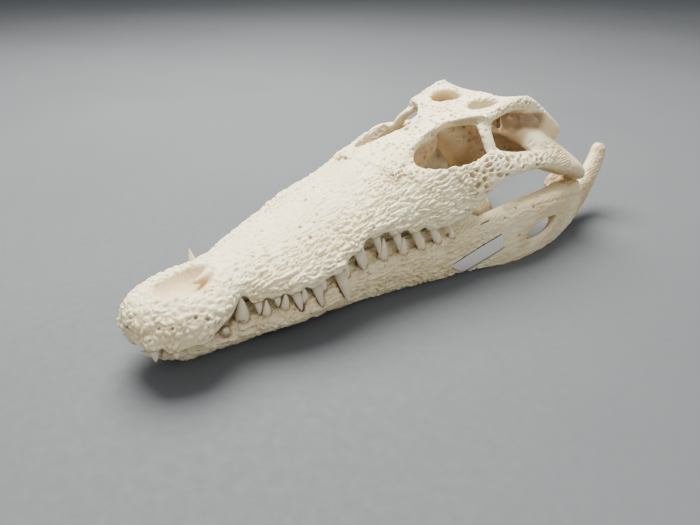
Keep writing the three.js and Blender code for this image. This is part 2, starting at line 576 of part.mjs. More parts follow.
function jaw(teethOfSide) {
  const stations = [JAW_TIP, 3.8, 5.5, 8, 11, 15, 18, 21, 24.5, 29, 35, 40, 45, 52, 59, 66, 73, 80,
    86, 92, 98, 104, 110, 114, 118, 122, 125];
  const ramus = join(loft(stations.map(jawRing)), toothBed(), retroarticular(), jawJoint());
  const window = bar([
    station([32, 91.4, 7], [0, 5.3, 0.9], [0, -0.6, 1.4]),
    station([14, 91.6, 6.4], [0, 6.4, 0.9], [0, -0.8, 2.4]),
  ], 12);
  const sideFossa = ellipsoid([26.6, 88.5, 5.6], [2, 9.5, 3.4], [0.15, 0, 0], 12);
  // long hollow on the inner side, open upwards in front of the joint
  const muscleHollow = ellipsoid([18.6, 92, 9.6], [2.2, 14, 4.6], [0, 0, 0.12], 12);
  const reaching = upperTeeth.filter(({ tip }) => tip.z < jawTop(tip.y) + TOOTH_CLEARANCE);
  const upperRoom = join(...reaching.map(toothRoom));
  const teeth = join(...teethOfSide.map(tooth));
  const floor = block([-REACH, -REACH, -REACH], [REACH, REACH, 0]);
  return ramus.subtract(join(window, sideFossa, muscleHollow, upperRoom)).add(teeth).subtract(floor);
}

// ---------------------------------------------------------------- the named bones
const MATERIALS = {
  bone: [0xe9e2d0, 0.62],
  rear_bone: [0xe3d9bd, 0.6],
};

function named(name, solid, [color, roughness]) {
  const material = new THREE.MeshStandardMaterial({ color, roughness, metalness: 0 });
  const mesh = new THREE.Mesh(toGeometry(solid), material);
  mesh.name = name;
  return mesh;
}

// blocks that part the cranium, as [low corner, high corner], with a seam between neighbours
const SNOUT_END = 57;
const TABLE_START = 80;
const TABLE_UNDERSIDE = 28.3;
const FOREHEAD_SIDE = 9;
const BRAIN_SIDE = 8;
const PALATE_TOP = 15.9;
const half = SEAM / 2;
const cells = {
  snout: [[[-REACH, -REACH, -REACH], [REACH, SNOUT_END - half, REACH]]],
  forehead: [[[-FOREHEAD_SIDE + half, SNOUT_END + half, 19.6 + half],
    [FOREHEAD_SIDE - half, TABLE_START - half, REACH]]],
  palate: [
    [[-FOREHEAD_SIDE + half, SNOUT_END + half, -REACH], [FOREHEAD_SIDE - half, 81, 19.6 - half]],
    [[-14.4, 76, -REACH], [14.4, REACH, PALATE_TOP - half]],
  ],
  skull_table: [[[-REACH, TABLE_START + half, TABLE_UNDERSIDE + half], [REACH, REACH, REACH]]],
  braincase: [[[-BRAIN_SIDE + half, TABLE_START + half, PALATE_TOP + half],
    [BRAIN_SIDE - half, REACH, TABLE_UNDERSIDE - half]]],
  quadrate_left: [
    [[BRAIN_SIDE + half, 86.2, PALATE_TOP + half], [15.4, REACH, TABLE_UNDERSIDE - half]],
    [[BRAIN_SIDE + half, 96, -REACH], [REACH, REACH, TABLE_UNDERSIDE - half]],
  ],
};

const inCell = (boxes) => join(...boxes.map(([low, high]) => block(low, high)));
const grown = (boxes) => boxes.map(([low, high]) => [low.map((v) => v - SEAM), high.map((v) => v + SEAM)]);

function craniumPieces() {
  const whole = cranium();
  const pieces = Object.entries(cells).map(([name, boxes]) => [name, whole.intersect(inCell(boxes))]);
  const taken = join(...Object.values(cells).map((boxes) => inCell(grown(boxes))));
  const leftHalf = block([0, -REACH, -REACH], [REACH, REACH, REACH]);
  pieces.push(['cheek_left', whole.subtract(taken).intersect(leftHalf)]);
  const sided = pieces.filter(([name]) => name.endsWith('_left'));
  sided.forEach(([name, solid]) => pieces.push([name.replace('_left', '_right'), flip(solid)]));
  return pieces;
}

function jawPieces() {
  const JAW_JOIN = 76;
  const front = block([-REACH, -REACH, -REACH], [REACH, JAW_JOIN - half, REACH]);
  const rear = block([-REACH, JAW_JOIN + half, -REACH], [REACH, REACH, REACH]);
  const left = jaw(LEFT_TEETH);
  const right = jaw(RIGHT_TEETH);
  return [
    ['dentary_left', left.intersect(front)], ['dentary_right', flip(right.intersect(front))],
    ['jaw_rear_left', left.intersect(rear)], ['jaw_rear_right', flip(right.intersect(rear))],
  ];
}

const group = new THREE.Group();
for (const [name, solid] of [...craniumPieces(), ...jawPieces()]) {
  const behind = name.startsWith('quadrate') || name.startsWith('jaw_rear');
  group.add(named(name, solid, behind ? MATERIALS.rear_bone : MATERIALS.bone));
}

// the origin goes to the middle of the skull's footprint, on the surface it rests on
const box = new THREE.Box3().setFromObject(group);
const middle = box.getCenter(new THREE.Vector3());
group.position.set(-middle.x, -middle.y, -box.min.z);
group.updateMatrixWorld(true);

export default group;
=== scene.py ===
"""Looks of a crocodile skull that lies closed on its lower jaw.

The bone is shaped as clay: a field of signed distances in which smooth lofts and bars are joined and
hollows are cut with rounded edges. The field becomes a mesh, and its surface is then sculpted with the
ridges, pits and pores of dermal bone.

Every station is in hundredths of the skull's length, as in the solids: x towards the animal's left,
y back from the snout tip, z up from the floor.
"""

import bpy
import numpy as np
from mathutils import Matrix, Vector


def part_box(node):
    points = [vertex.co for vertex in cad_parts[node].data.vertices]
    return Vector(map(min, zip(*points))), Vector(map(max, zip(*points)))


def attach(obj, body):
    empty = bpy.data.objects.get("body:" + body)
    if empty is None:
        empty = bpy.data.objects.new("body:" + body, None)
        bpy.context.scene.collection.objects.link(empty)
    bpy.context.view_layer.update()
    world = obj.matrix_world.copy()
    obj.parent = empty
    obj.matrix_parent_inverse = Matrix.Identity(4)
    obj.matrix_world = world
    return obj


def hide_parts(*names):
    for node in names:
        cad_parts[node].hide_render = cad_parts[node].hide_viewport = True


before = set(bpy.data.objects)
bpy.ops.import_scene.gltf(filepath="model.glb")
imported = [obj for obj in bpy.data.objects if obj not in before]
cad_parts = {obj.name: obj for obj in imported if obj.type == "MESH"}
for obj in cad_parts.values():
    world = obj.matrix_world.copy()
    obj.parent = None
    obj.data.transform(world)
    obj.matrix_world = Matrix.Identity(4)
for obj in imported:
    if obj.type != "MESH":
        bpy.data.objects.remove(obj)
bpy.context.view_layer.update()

import openvdb
from mathutils import Matrix, Vector

# ------------------------------------------------------------------ driving dimensions
SKULL_LENGTH = 0.240  # metres, snout tip to the rear edge of the skull table
UNIT = SKULL_LENGTH / 100
TIP_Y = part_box("snout")[0].y  # the snout tip in the row frame

VOXEL = 0.2  # grid pitch of the clay
BAND = 6  # distances are true this many voxels to either side of a surface
FAR = BAND * VOXEL  # and are held at this beyond
GRID_LOW = np.array([-26.5, -1.8, -1.4])
GRID_HIGH = np.array([26.5, 131.0, 35.8])
GRID_SHAPE = tuple(np.ceil((GRID_HIGH - GRID_LOW) / VOXEL).astype(int) + 1)
WHOLE_GRID = tuple(slice(0, n) for n in GRID_SHAPE)


def to_row(points):
    """Stations in the row frame, in metres."""
    row = np.asarray(points, np.float64) * UNIT
    row[:, 1] += TIP_Y
    return row


# ------------------------------------------------------------------ curves
def profile(*knots):
    """Smooth curve through (station, value) knots, level beyond both ends."""
    at, value = np.array(knots, float).T
    slope = np.empty_like(at)
    slope[1:-1] = (value[2:] - value[:-2]) / (at[2:] - at[:-2])
    slope[0] = (value[1] - value[0]) / (at[1] - at[0])
    slope[-1] = (value[-1] - value[-2]) / (at[-1] - at[-2])

    def curve(station):
        s = np.clip(station, at[0], at[-1])
        i = np.clip(np.searchsorted(at, s, side="right") - 1, 0, len(at) - 2)
        span = at[i + 1] - at[i]
        t = (s - at[i]) / span
        ends = (2 * t**3 - 3 * t**2 + 1) * value[i] + (3 * t**2 - 2 * t**3) * value[i + 1]
        return ends + ((t**3 - 2 * t**2 + t) * slope[i] + (t**3 - t**2) * slope[i + 1]) * span

    return curve


def spline(rows, steps, closed=False):
    """Catmull-Rom curve through the rows of an array, steps to each span."""
    rows = np.asarray(rows, float)
    if closed:
        padded = np.concatenate([rows[-1:], rows, rows[:2]])
    else:
        padded = np.concatenate([2 * rows[:1] - rows[1:2], rows, 2 * rows[-1:] - rows[-2:-1]])
    spans = len(padded) - 3
    found = []
    for i in range(spans):
        before, start, end, after = padded[i:i + 4]
        for t in np.arange(steps) / steps:
            found.append(0.5 * (2 * start + (end - before) * t
                                + (2 * before - 5 * start + 4 * end - after) * t**2
                                + (3 * start - before - 3 * end + after) * t**3))
    if not closed:
        found.append(rows[-1])
    return np.array(found)


def smoothstep(low, high, value):
    """Soft step from 0 at low to 1 at high."""
    t = np.clip((value - low) / (high - low), 0, 1)
    return t * t * (3 - 2 * t)


def fade(low, high, value):
    """Soft step from 1 at low to 0 at high."""
    return 1 - smoothstep(low, high, value)


def between(value, rise_from, rise_to, fall_from, fall_to):
    """Soft mask that rises from 0 to 1 and falls back to 0."""
    return smoothstep(rise_from, rise_to, value) * fade(fall_from, fall_to, value)


# upper jaw: outline from above, profile from the side, and the waved line of its tooth row
snout_half_width = profile(
    (0, 2.4), (0.8, 4.6), (2, 6.6), (4, 8.2), (7, 9.5), (10, 9.9), (14, 9.2), (18, 7.7), (21, 9.2),
    (27, 12.2), (34, 14), (40, 13.9), (46, 14), (54, 15.6), (62, 17.6), (71, 18.9))
snout_top = profile(
    (0, 11.6), (0.8, 12.8), (2, 13.9), (4, 14.7), (7, 15.1), (12, 15.1), (17, 15.8), (24, 16.4), (35, 18.6),
    (45, 21.7), (58, 25.8), (64, 27.1), (71, 28))
upper_margin = profile(
    (0, 9), (2, 8.3), (5, 7.6), (9, 8.3), (13, 9.4), (16, 10.3), (18, 11.8), (20, 10.6), (25, 11), (30, 11.4),
    (35, 12.3), (39, 14), (43, 16), (46, 16.4), (50, 15.8), (56, 14.9), (63, 14.6), (70, 15.2))
snout_fullness = profile(
    (0, 2), (10, 2.4), (20, 2), (32, 1.7), (50, 1.8), (60, 1.85), (66, 1.7), (71, 1.45))

# roof of the skull: the bar between the orbits, then the flat table behind them
roof_half_width = profile(
    (57, 9), (62, 6.6), (66, 5), (71, 3.9), (76, 3.4), (79, 4.6), (81, 8.2), (83.5, 11.2), (88, 11.8),
    (94, 12.5), (99, 13))
roof_top = profile(
    (57, 25.4), (64, 27), (70, 28.2), (76, 29.3), (80, 30.7), (84, 31.9), (92, 32.8), (99, 33.2))
roof_edge_rise = profile((57, -0.6), (66, 0.2), (76, 0.5), (82, 0.3), (88, 0.6), (95, 1.2), (99, 0.9))
roof_thickness = profile((57, 4), (70, 2.2), (78, 2.2), (84, 3.1), (99, 4.1))
roof_lip = profile((57, 3), (66, 1.2), (79, 1), (84, 2), (90, 2.6), (99, 3))

# lower jaw: outer and inner outline from above, upper and lower edge from the side
JAW_TIP = 3
CHIN_HALF_GAP = 0.09  # the two sides of the lower jaw meet at the chin without touching
jaw_outer = profile(
    (3, 1.2), (3.8, 2.6), (5.5, 4), (8, 5.3), (11, 6.3), (15, 7.4), (18, 8.4), (22, 10.4), (28, 12.8),
    (35, 13.7), (43, 14), (53, 16.1), (66, 19.1), (72, 20.6), (76, 21.9), (81, 23.6), (87, 25), (94, 25.6),
    (102, 25.3), (108, 24.6), (113, 23.8), (118, 22.8), (123, 22), (126, 21.4))
jaw_inner = profile(
    (3, CHIN_HALF_GAP), (12, CHIN_HALF_GAP), (15, 0.3), (18, 1.5), (22, 4), (28, 7.6), (35, 9.3),
    (43, 9.6), (53, 11), (66, 13.8), (80, 17.6), (92, 19.2), (102, 18.8), (108, 16.8), (117, 17),
    (122, 17.5), (126, 18.4))
jaw_keel = profile(
    (3, 0.4), (6, 1), (12, 1.6), (20, 3.9), (31, 7.4), (43, 9.8), (55, 13.2), (66, 17), (72, 18.9),
    (76, 20.5), (81, 22.3), (87, 23.8), (98, 24.3), (106, 23.6), (112, 22.5), (118, 21.6), (126, 20.4))
jaw_squareness = profile((30, 0), (75, 1))
jaw_top = profile(
    (3, 4.6), (4, 5.2), (7, 5.5), (11, 5.9), (18, 6.5), (22, 7.1), (28.6, 8.3), (38, 9.4), (43, 10),
    (50, 10.1), (58, 10), (67, 10.9), (73, 12.2), (80, 13.5), (87, 14.2), (95, 13.9), (104, 13.2), (109, 12),
    (113, 11.5), (118, 11.3), (126, 11.2))
jaw_bottom = profile(
    (3, 3.6), (4, 2.4), (6, 1.2), (9.5, -0.25), (17, -0.25), (24, 0.5), (55, 0.6), (74, 0.3), (80, -0.25),
    (101, -0.25), (107, 0.3), (112, 0.9), (118, 2.2), (123, 4.4), (126, 7))

RIM_HEIGHT = 1.0  # straight part of the wall above the upper tooth row
LIP = 1.1  # width of the thin lip outside the upper tooth row
LEDGE_RISE = 1.0  # from the tooth row up to the ledge inside the lip
RIM_WIDTH = 3.6  # from the outline in to the palate's vault
PALATE_VAULT = 1.7  # from the tooth row up to the vault


# ------------------------------------------------------------------ clay
class Shape:
    """A closed surface: points, triangles and four-sided faces."""

    def __init__(self, points, triangles, quads):
        self.points = np.ascontiguousarray(points, np.float32)
        self.triangles = np.ascontiguousarray(triangles, np.uint32)
        self.quads = np.ascontiguousarray(quads, np.uint32)

    def flipped(self):
        """The same surface on the other side of the middle plane."""
        return Shape(self.points * [-1, 1, 1], self.triangles, self.quads)


def loft(rings):
    """Closed surface through rings of equal length, capped by fans at its ends."""
    rings = np.asarray(rings, float)
    count, sides = rings.shape[:2]
    ends = rings[[0, -1]].mean(axis=1)
    points = np.concatenate([rings.reshape(-1, 3), ends])
    corner = np.arange(count * sides).reshape(count, sides)
    onward = np.roll(corner, -1, axis=1)
    quads = np.stack([corner[:-1], onward[:-1], onward[1:], corner[1:]], axis=-1).reshape(-1, 4)
    first = np.full(sides, count * sides)
    fans = [np.stack([onward[0], corner[0], first], axis=-1),
            np.stack([corner[-1], onward[-1], first + 1], axis=-1)]
    return Shape(points, np.concatenate(fans), quads)


def bar(stations, sides=36, steps=8):
    """Bar of bone through (centre, half-axis, half-axis) stations of an oval section."""
    rows = spline(np.array(stations, float).reshape(len(stations), 9), steps)
    angle = 2 * np.pi * np.arange(sides) / sides
    centre, wide, thick = rows[:, None, :3], rows[:, None, 3:6], rows[:, None, 6:]
    return loft(centre + wide * np.cos(angle)[:, None] + thick * np.sin(angle)[:, None])


def turned(x=0.0, y=0.0, z=0.0):
    """Rotation matrix about X, then Y, then Z, in the order of the solids' Euler angles."""
    return np.array(Matrix.Rotation(x, 3, "X") @ Matrix.Rotation(y, 3, "Y") @ Matrix.Rotation(z, 3, "Z"))


class Clay:
    """A solid held as signed distances, negative inside, on a regular grid."""

    def __init__(self, copied=None):
        self.d = np.full(GRID_SHAPE, FAR, np.float32) if copied is None else copied.d.copy()

    @staticmethod
    def window(low, high):
        """Grid slices around a box, widened by the band."""
        start = np.floor((np.asarray(low) - GRID_LOW) / VOXEL).astype(int) - BAND - 1
        stop = np.ceil((np.asarray(high) - GRID_LOW) / VOXEL).astype(int) + BAND + 2
        start = np.clip(start, 0, GRID_SHAPE)
        stop = np.clip(stop, 0, GRID_SHAPE)
        return tuple(slice(a, b) for a, b in zip(start, stop))

    @staticmethod
    def centres(window):
        """Places of a window's voxels, as three arrays that broadcast together."""
        axes = [GRID_LOW[i] + VOXEL * np.arange(s.start, s.stop) for i, s in enumerate(window)]
        return np.meshgrid(*axes, indexing="ij", sparse=True)

    def distances(self, shape):
        window = self.window(shape.points.min(axis=0), shape.points.max(axis=0))
        grid = openvdb.FloatGrid.createLevelSetFromPolygons(
            (shape.points - GRID_LOW).astype(np.float32), shape.triangles, shape.quads,
            openvdb.createLinearTransform(VOXEL), BAND)
        found = np.empty([s.stop - s.start for s in window], np.float32)
        grid.copyToArray(found, ijk=tuple(s.start for s in window))
        return window, found

    def _blend(self, window, other, blend, sign):
        mine = sign * self.d[window]
        share = np.clip(0.5 + 0.5 * (other - mine) / blend, 0, 1)
        self.d[window] = sign * (other * (1 - share) + mine * share - blend * share * (1 - share))

    def add(self, shape, blend=0.5):
        window, found = self.distances(shape)
        self._blend(window, found, blend, 1)

    def cut(self, shape, blend=0.35):
        window, found = self.distances(shape)
        self._blend(window, found, blend, -1)

    def add_both(self, shape, blend=0.5):
        self.add(shape, blend)
        self.add(shape.flipped(), blend)

    def cut_both(self, shape, blend=0.35):
        self.cut(shape, blend)
        self.cut(shape.flipped(), blend)

    def _egg(self, centre, radii, turn):
        centre = np.asarray(centre, float)
        radii = np.asarray(radii, float)
        reach = radii.max()
        window = self.window(centre - reach, centre + reach)
        x, y, z = self.centres(window)
        local = [turn[0, i] * (x - centre[0]) + turn[1, i] * (y - centre[1]) + turn[2, i] * (z - centre[2])
                 for i in range(3)]
        scaled = np.sqrt(sum((p / r)**2 for p, r in zip(local, radii)))
        steep = np.sqrt(sum((p / r**2)**2 for p, r in zip(local, radii))) + 1e-6
        distance = scaled * (scaled - 1) / steep
        return window, np.clip(distance, -FAR, FAR).astype(np.float32)

    def add_egg(self, centre, radii, turn=turned(), blend=0.5):
        window, found = self._egg(centre, radii, turn)
        self._blend(window, found, blend, 1)

    def cut_egg(self, centre, radii, turn=turned(), blend=0.3):
        window, found = self._egg(centre, radii, turn)
        self._blend(window, found, blend, -1)

    def cut_below(self, level):
        """Flattens what reaches under a level."""
        z = self.centres(WHOLE_GRID)[2]
        self.d = np.maximum(self.d, (level - z).astype(np.float32))

    def soften(self):
        """Rounds creases of about a voxel."""
        for axis in range(3):
            before = np.take(self.d, [0], axis)
            after = np.take(self.d, [-1], axis)
            wide = np.concatenate([before, self.d, after], axis)
            ahead = np.take(wide, range(2, wide.shape[axis]), axis)
            behind = np.take(wide, range(0, wide.shape[axis] - 2), axis)
            self.d = 0.5 * self.d + 0.25 * (ahead + behind)

    def sample(self, points):
        """Distances at points, read between the voxels."""
        place = (points - GRID_LOW) / VOXEL
        place = np.clip(place, 0, np.array(GRID_SHAPE) - 1.001)
        base = place.astype(int)
        part = place - base
        found = np.zeros(len(points))
        for corner in np.ndindex(2, 2, 2):
            weight = np.prod(np.where(corner, part, 1 - part), axis=1)
            i, j, k = (base + corner).T
            found += weight * self.d[i, j, k]
        return found

    def surface(self):
        """Points and four-sided faces of the surface."""
        grid = openvdb.FloatGrid(FAR)
        grid.copyFromArray(self.d)
        points, quads = grid.convertToQuads()
        return points * VOXEL + GRID_LOW, quads


# ------------------------------------------------------------------ teeth
class Tooth:
    """A cone from its base in the bone to its tip; radius is its size where it leaves the bone."""

    def __init__(self, base, tip, radius, bow=(0, 0, 0)):
        self.base = np.array(base, float)
        self.tip = np.array(tip, float)
        self.radius = radius
        self.bow = np.array(bow, float)  # how far the crown's middle bulges from the straight line

    def flipped(self):
        side = np.array([-1, 1, 1])
        return Tooth(self.base * side, self.tip * side, self.radius, self.bow * side)


def mirrored(teeth):
    """The same teeth on the other side."""
    return [tooth.flipped() for tooth in teeth]


# upper teeth: station, length below the tooth row, radius, how far back the tip hooks, and
# how far out it leans where that is more than a little
UPPER_TEETH = (
    (1.5, 3.2, 0.8, 0), (4, 2, 0.65, 0.1), (9, 2.3, 0.9, 0.1),
    (20.6, 3.3, 0.75, 0.2, 0.3), (23.6, 2.5, 0.65, 0.2, 0.3), (26.8, 4.8, 0.85, 1, 0.8),
    (30.8, 5.4, 0.95, 1.1, 0.8), (36.2, 7.7, 1.2, 1.5, 1.6), (40.9, 5.1, 0.95, 1.6, 1.2),
    (46, 4.5, 0.85, 0.9, 0.7), (51, 4.4, 0.9, 0.9, 0.8), (55.8, 4.6, 0.95, 0.9, 0.9),
    (60, 3.8, 0.9, 0.7, 0.7), (63.9, 2.2, 0.8, 0.7, 0.4), (67.2, 1.6, 0.7, 0.5, 0.3),
    (69.6, 1.3, 0.6, 0.3, 0.2),
)
FANG_STATION = 17.9  # the fourth lower tooth, which closes outside the upper jaw
# lower teeth: station, height above the jaw, radius, and how far the tip leans back
LOWER_TEETH = (
    (6, 1.6, 0.5, -0.4), (13, 2.4, 0.85, -0.8), (FANG_STATION, 5.2, 1.35, 0.2), (21.8, 3.2, 0.8, 0.2),
    (25, 3.3, 0.85, 0.4), (28.7, 2.9, 0.85, 0), (32.8, 3.2, 0.9, 0.4), (38.5, 3.5, 0.95, 0.5),
    (43.2, 4.9, 1.05, -0.1), (48.1, 4.9, 1.05, 0.2), (53, 3.9, 0.95, -0.1), (57.6, 3.2, 0.9, -0.2),
    (61.7, 2.7, 0.85, -0.1), (65.4, 2.2, 0.75, -0.4),
)


def upper_teeth():
    made = []
    for y, length, radius, hook, *lean in UPPER_TEETH:
        x = snout_half_width(y) - radius - 0.25
        z = upper_margin(y) + 0.3
        splay = lean[0] if lean else 0.15
        made.append(Tooth((x, y, z), (x + splay, y + hook, z - length - 0.3), radius,
                          (0.25 + 0.2 * splay, -0.1 * hook, 0)))
    return made


def lower_teeth(fang_extra=0.0, fang_splay=0.1):
    made = []
    for y, height, radius, lean in LOWER_TEETH:
        fang = y == FANG_STATION
        tall = height + (fang_extra if fang else 0)
        splay = fang_splay if fang else 0.1
        x = jaw_outer(y) - radius - (0.3 if fang else 0.7)
        z = jaw_top(y) - 0.3
        made.append(Tooth((x, y, z), (x + splay, y + lean, z + tall + 0.3), radius, (0.2, 0, 0)))
    return made


# on the left the first tooth points forwards out of the mouth; on the right it has been lost,
# and the fourth tooth stands higher and further out
FRONT_TOOTH = Tooth((1.7, 4.6, 4.4), (2, 0.15, 6.4), 0.95, (0.1, -0.1, -0.2))
UPPER = upper_teeth()
STUB = Tooth((6.9, 14.2, 6.2), (8.5, 13, 8), 0.8, (0.1, 0, 0))
LOWER_LEFT = [*lower_teeth(), FRONT_TOOTH, STUB]
LOWER_RIGHT = lower_teeth(fang_extra=3.6, fang_splay=2.6)


BLUNT_TIP = 0.03  # least radius of a crown


def tooth_size(tooth, share):
    """Radius at a share of the length, which stays full for longer than a cone's."""
    return tooth.radius * (1 - share**1.9)**0.85


def crown(tooth, sides=22, rings=16, root=1.5, grow=0.0):
    """Curved crown with a root set in the bone, as a loft; grow widens it all round."""
    axis = tooth.tip - tooth.base
    length = np.linalg.norm(axis)
    axis /= length
    across = np.cross(axis, [0, 1, 0.001])
    across /= np.linalg.norm(across)
    beside = np.cross(axis, across)
    angle = 2 * np.pi * np.arange(sides) / sides
    rows = []
    for t in np.linspace(-root / length, 1, rings):
        above = max(t, 0)
        centre = tooth.base + axis * length * t + tooth.bow * 4 * above * (1 - above)
        size = max(tooth_size(tooth, above) + grow, BLUNT_TIP)
        ring = across * np.cos(angle)[:, None] * size + beside * np.sin(angle)[:, None] * size * 1.06
        rows.append(centre + ring)
    return loft(rows)


# ------------------------------------------------------------------ cranium
def snout_shape():
    arch_steps = 60
    angle = np.pi * np.arange(arch_steps + 1) / arch_steps
    rings = []
    for y in np.arange(0, 71.01, 0.5):
        width = snout_half_width(y)
        margin = upper_margin(y)
        shoulder = margin + RIM_HEIGHT
        power = 2 / snout_fullness(y)
        x = width * np.sign(np.cos(angle)) * np.abs(np.cos(angle))**power
        z = shoulder + (snout_top(y) - shoulder) * np.sin(angle)**power
        arch = np.stack([x, np.full_like(x, y), z], axis=1)
        vault = max(width - RIM_WIDTH, width * 0.4)
        under = [(width - 0.35, 0), (width - LIP, LEDGE_RISE), (vault, PALATE_VAULT)]
        below = [(-x_in, y, margin + up) for x_in, up in under]
        below += [(x_in, y, margin + up) for x_in, up in reversed(under)]
        rings.append(np.concatenate([arch, below]))
    return loft(rings)


# the front rim of the upper jaw, which hangs lowest on the right of the middle
FRONT_RIM = bar([
    ((-5.4, 2, 8.6), (0.3, 0.7, 0), (0, 0, 1.2)),
    ((-4.2, 1.5, 8), (0.5, 0.8, 0), (0, 0, 1.7)),
    ((-2.4, 1, 7.9), (0.3, 0.9, 0), (0, 0, 1.8)),
    ((-0.6, 0.9, 8), (0, 0.9, 0), (0, 0, 1.7)),
    ((1.6, 0.9, 8.6), (0, 0.9, 0), (0, 0, 1.1)),
    ((4, 1.4, 9), (-0.4, 0.8, 0), (0, 0, 1)),
    ((5.4, 2.2, 9), (-0.3, 0.7, 0), (0, 0, 0.8)),
])


def roof_shape():
    rings = []
    for y in np.arange(57, 99.01, 0.5):
        width = roof_half_width(y)
        top = roof_top(y)
        edge = top + roof_edge_rise(y)
        lip = roof_lip(y)
        left = [(0.45 * width, y, top - 0.1), (0.84 * width, y, edge - 0.1), (0.97 * width, y, edge - 0.35),
                (width, y, edge - 0.7 * lip), (0.9 * width, y, edge - 0.2 - lip),
                (0.4 * width, y, top - roof_thickness(y))]
        right = [(-x, *rest) for x, *rest in reversed(left)]
        rings.append(spline([*left, *right, (0, y, top)], 5, closed=True))
    return loft(rings)


cheek_depth = profile((66, 2.3), (78, 1.7), (90, 1.5))
CHEEK_UPPER_EDGE = (
    (60, 9.6, 24.6), (66, 11.8, 24.9), (70, 14, 24.8), (74.5, 15.2, 25.4), (78.5, 15.7, 26), (83, 16.2, 25.4),
    (89, 17.2, 24.1), (95, 17.8, 23.2), (101, 18.2, 22), (106, 19.6, 19.4))
CHEEK_LOWER_EDGE = (
    (60, 16.9, 14.6), (66, 18.2, 14.8), (70, 18.8, 15.6), (74.5, 19.5, 18.2), (78.5, 20.1, 20),
    (83, 20.7, 21.4), (89, 21.5, 21.5), (95, 22, 20.9), (101, 22.6, 18.6), (106, 23.1, 16.4))


def cheek_shape():
    stations = []
    for (y, x_up, z_up), (_, x_low, z_low) in zip(CHEEK_UPPER_EDGE, CHEEK_LOWER_EDGE):
        wide = np.array([x_low - x_up, 0, z_low - z_up]) / 2
        outward = np.array([-wide[2], 0, wide[0]]) / np.hypot(wide[0], wide[2])
        centre = np.array([(x_low + x_up) / 2, y, (z_low + z_up) / 2]) - 0.7 * outward
        stations.append((centre, 1.06 * wide, outward * cheek_depth(y)))
    return bar(stations, sides=48)


POSTORBITAL_BAR = bar([
    ((9.8, 85.2, 30.4), (1.8, 0, 0), (0, 1.9, 0)),
    ((11.2, 83.8, 29), (1.4, 0, 0), (0, 1.6, 0)),
    ((12.7, 83.1, 27.4), (1.25, 0, 0), (0, 1.4, 0)),
    ((14, 83, 25.4), (1.4, 0, 0), (0, 1.6, 0)),
    ((15.8, 83.4, 24), (2, 0, 0), (0, 2.4, 0)),
])

QUADRATE = bar([
    ((8.8, 89.4, 29), (2, -1.2, -0.9), (0.4, 0.5, 1.3)),
    ((10.4, 94.2, 27.6), (2.2, -1.2, -1.5), (0.6, 0.5, 1.6)),
    ((15.2, 98, 24.9), (4.7, -2, -2.9), (0.8, 0.7, 1.7)),
    ((17.8, 102, 21.8), (5.2, -1.6, -3), (1, 0.9, 1.8)),
    ((20, 106.6, 18.6), (4.4, -0.8, -1.8), (0.7, 1, 1.9)),
    ((21.2, 109.8, 15.9), (3.7, -0.4, -0.6), (0.2, 1.3, 1.8)),
    ((21.2, 110.8, 14), (3.4, -0.3, 0), (0, 1.7, 0.8)),
])

# plate under the quadrate, in front of its jaw joint
QUADRATE_SHELF = bar([
    ((15.4, 98.6, 19.4), (1.6, 0, 0.4), (0, 0.5, 1)),
    ((17.6, 103, 16.9), (1.5, 0, 0.3), (0, 0.5, 0.8)),
    ((19.4, 108.6, 14.6), (1.3, 0, 0.2), (0, 0.5, 0.8)),
])

OCCIPITAL_WING = bar([
    ((2, 98.4, 26.6), (0, 0, 4.6), (0, 1.4, 0)),
    ((8, 99.6, 26.6), (0, 0, 4.2), (0, 1.3, 0)),
    ((13, 102.2, 26.2), (0, 0.2, 3.2), (0, 1.3, 0)),
    ((17.3, 105.6, 24.8), (0.2, 0.4, 1.9), (0, 1, 0)),
])

TABLE_HORN = bar([
    ((11.4, 95, 32.6), (1.5, 0, 0.2), (0, 0.6, 1.5)),
    ((12.6, 99.2, 32.2), (1.4, 0, 0.2), (0, 0.7, 1.5)),
    ((14.4, 102, 29.9), (1.1, 0, 0.2), (0, 0.9, 1.2)),
    ((16.4, 104.6, 27), (0.9, 0, 0.2), (0, 0.9, 1.1)),
    ((17.5, 106, 25), (0.7, 0, 0.2), (0, 0.7, 0.9)),
])

# fills between the table's rear corner and the wing of the occiput
SQUAMOSAL_PLATE = bar([
    ((11.8, 97.4, 30.2), (1.4, 1.8, 0), (0, 0.5, 2)),
    ((14.2, 100.6, 28.4), (1.2, 1.6, 0), (0, 0.6, 2)),
    ((16.9, 104.4, 25.7), (0.8, 1.1, 0), (0, 0.6, 1.3)),
])

BRAINCASE = bar([
    ((0, 78, 28.8), (3.2, 0, 0), (0, 0.5, 1.4)),
    ((0, 82.5, 27.2), (4, 0, 0), (0, 0.5, 3.6)),
    ((0, 87, 25), (4.8, 0, 0), (0, 0, 6.2)),
    ((0, 93, 22.6), (6, 0, 0), (0, 0, 8.8)),
    ((0, 99, 22.4), (7.2, 0, 0), (0, 0, 9.4)),
])
BRAINCASE_KEEL = bar([
    ((0, 84.4, 24.6), (1.7, 0, 0), (0, 2.4, 0)),
    ((0, 86.9, 20.6), (1.3, 0, 0), (0, 2.6, 0)),
    ((0, 90, 16.8), (1.6, 0, 0), (0, 2.8, 0)),
    ((0, 92, 13.6), (3, 0, 0), (0, 4, 0)),
])
BASAL_TUBER = bar([
    ((2.2, 97.4, 18), (2.2, 0, 0), (0, 1.6, 0)),
    ((2.4, 98, 14), (2.4, 0, 0), (0, 1.5, 0)),
    ((2.6, 98.2, 11.6), (1.8, 0, 0), (0, 1, 0)),
])

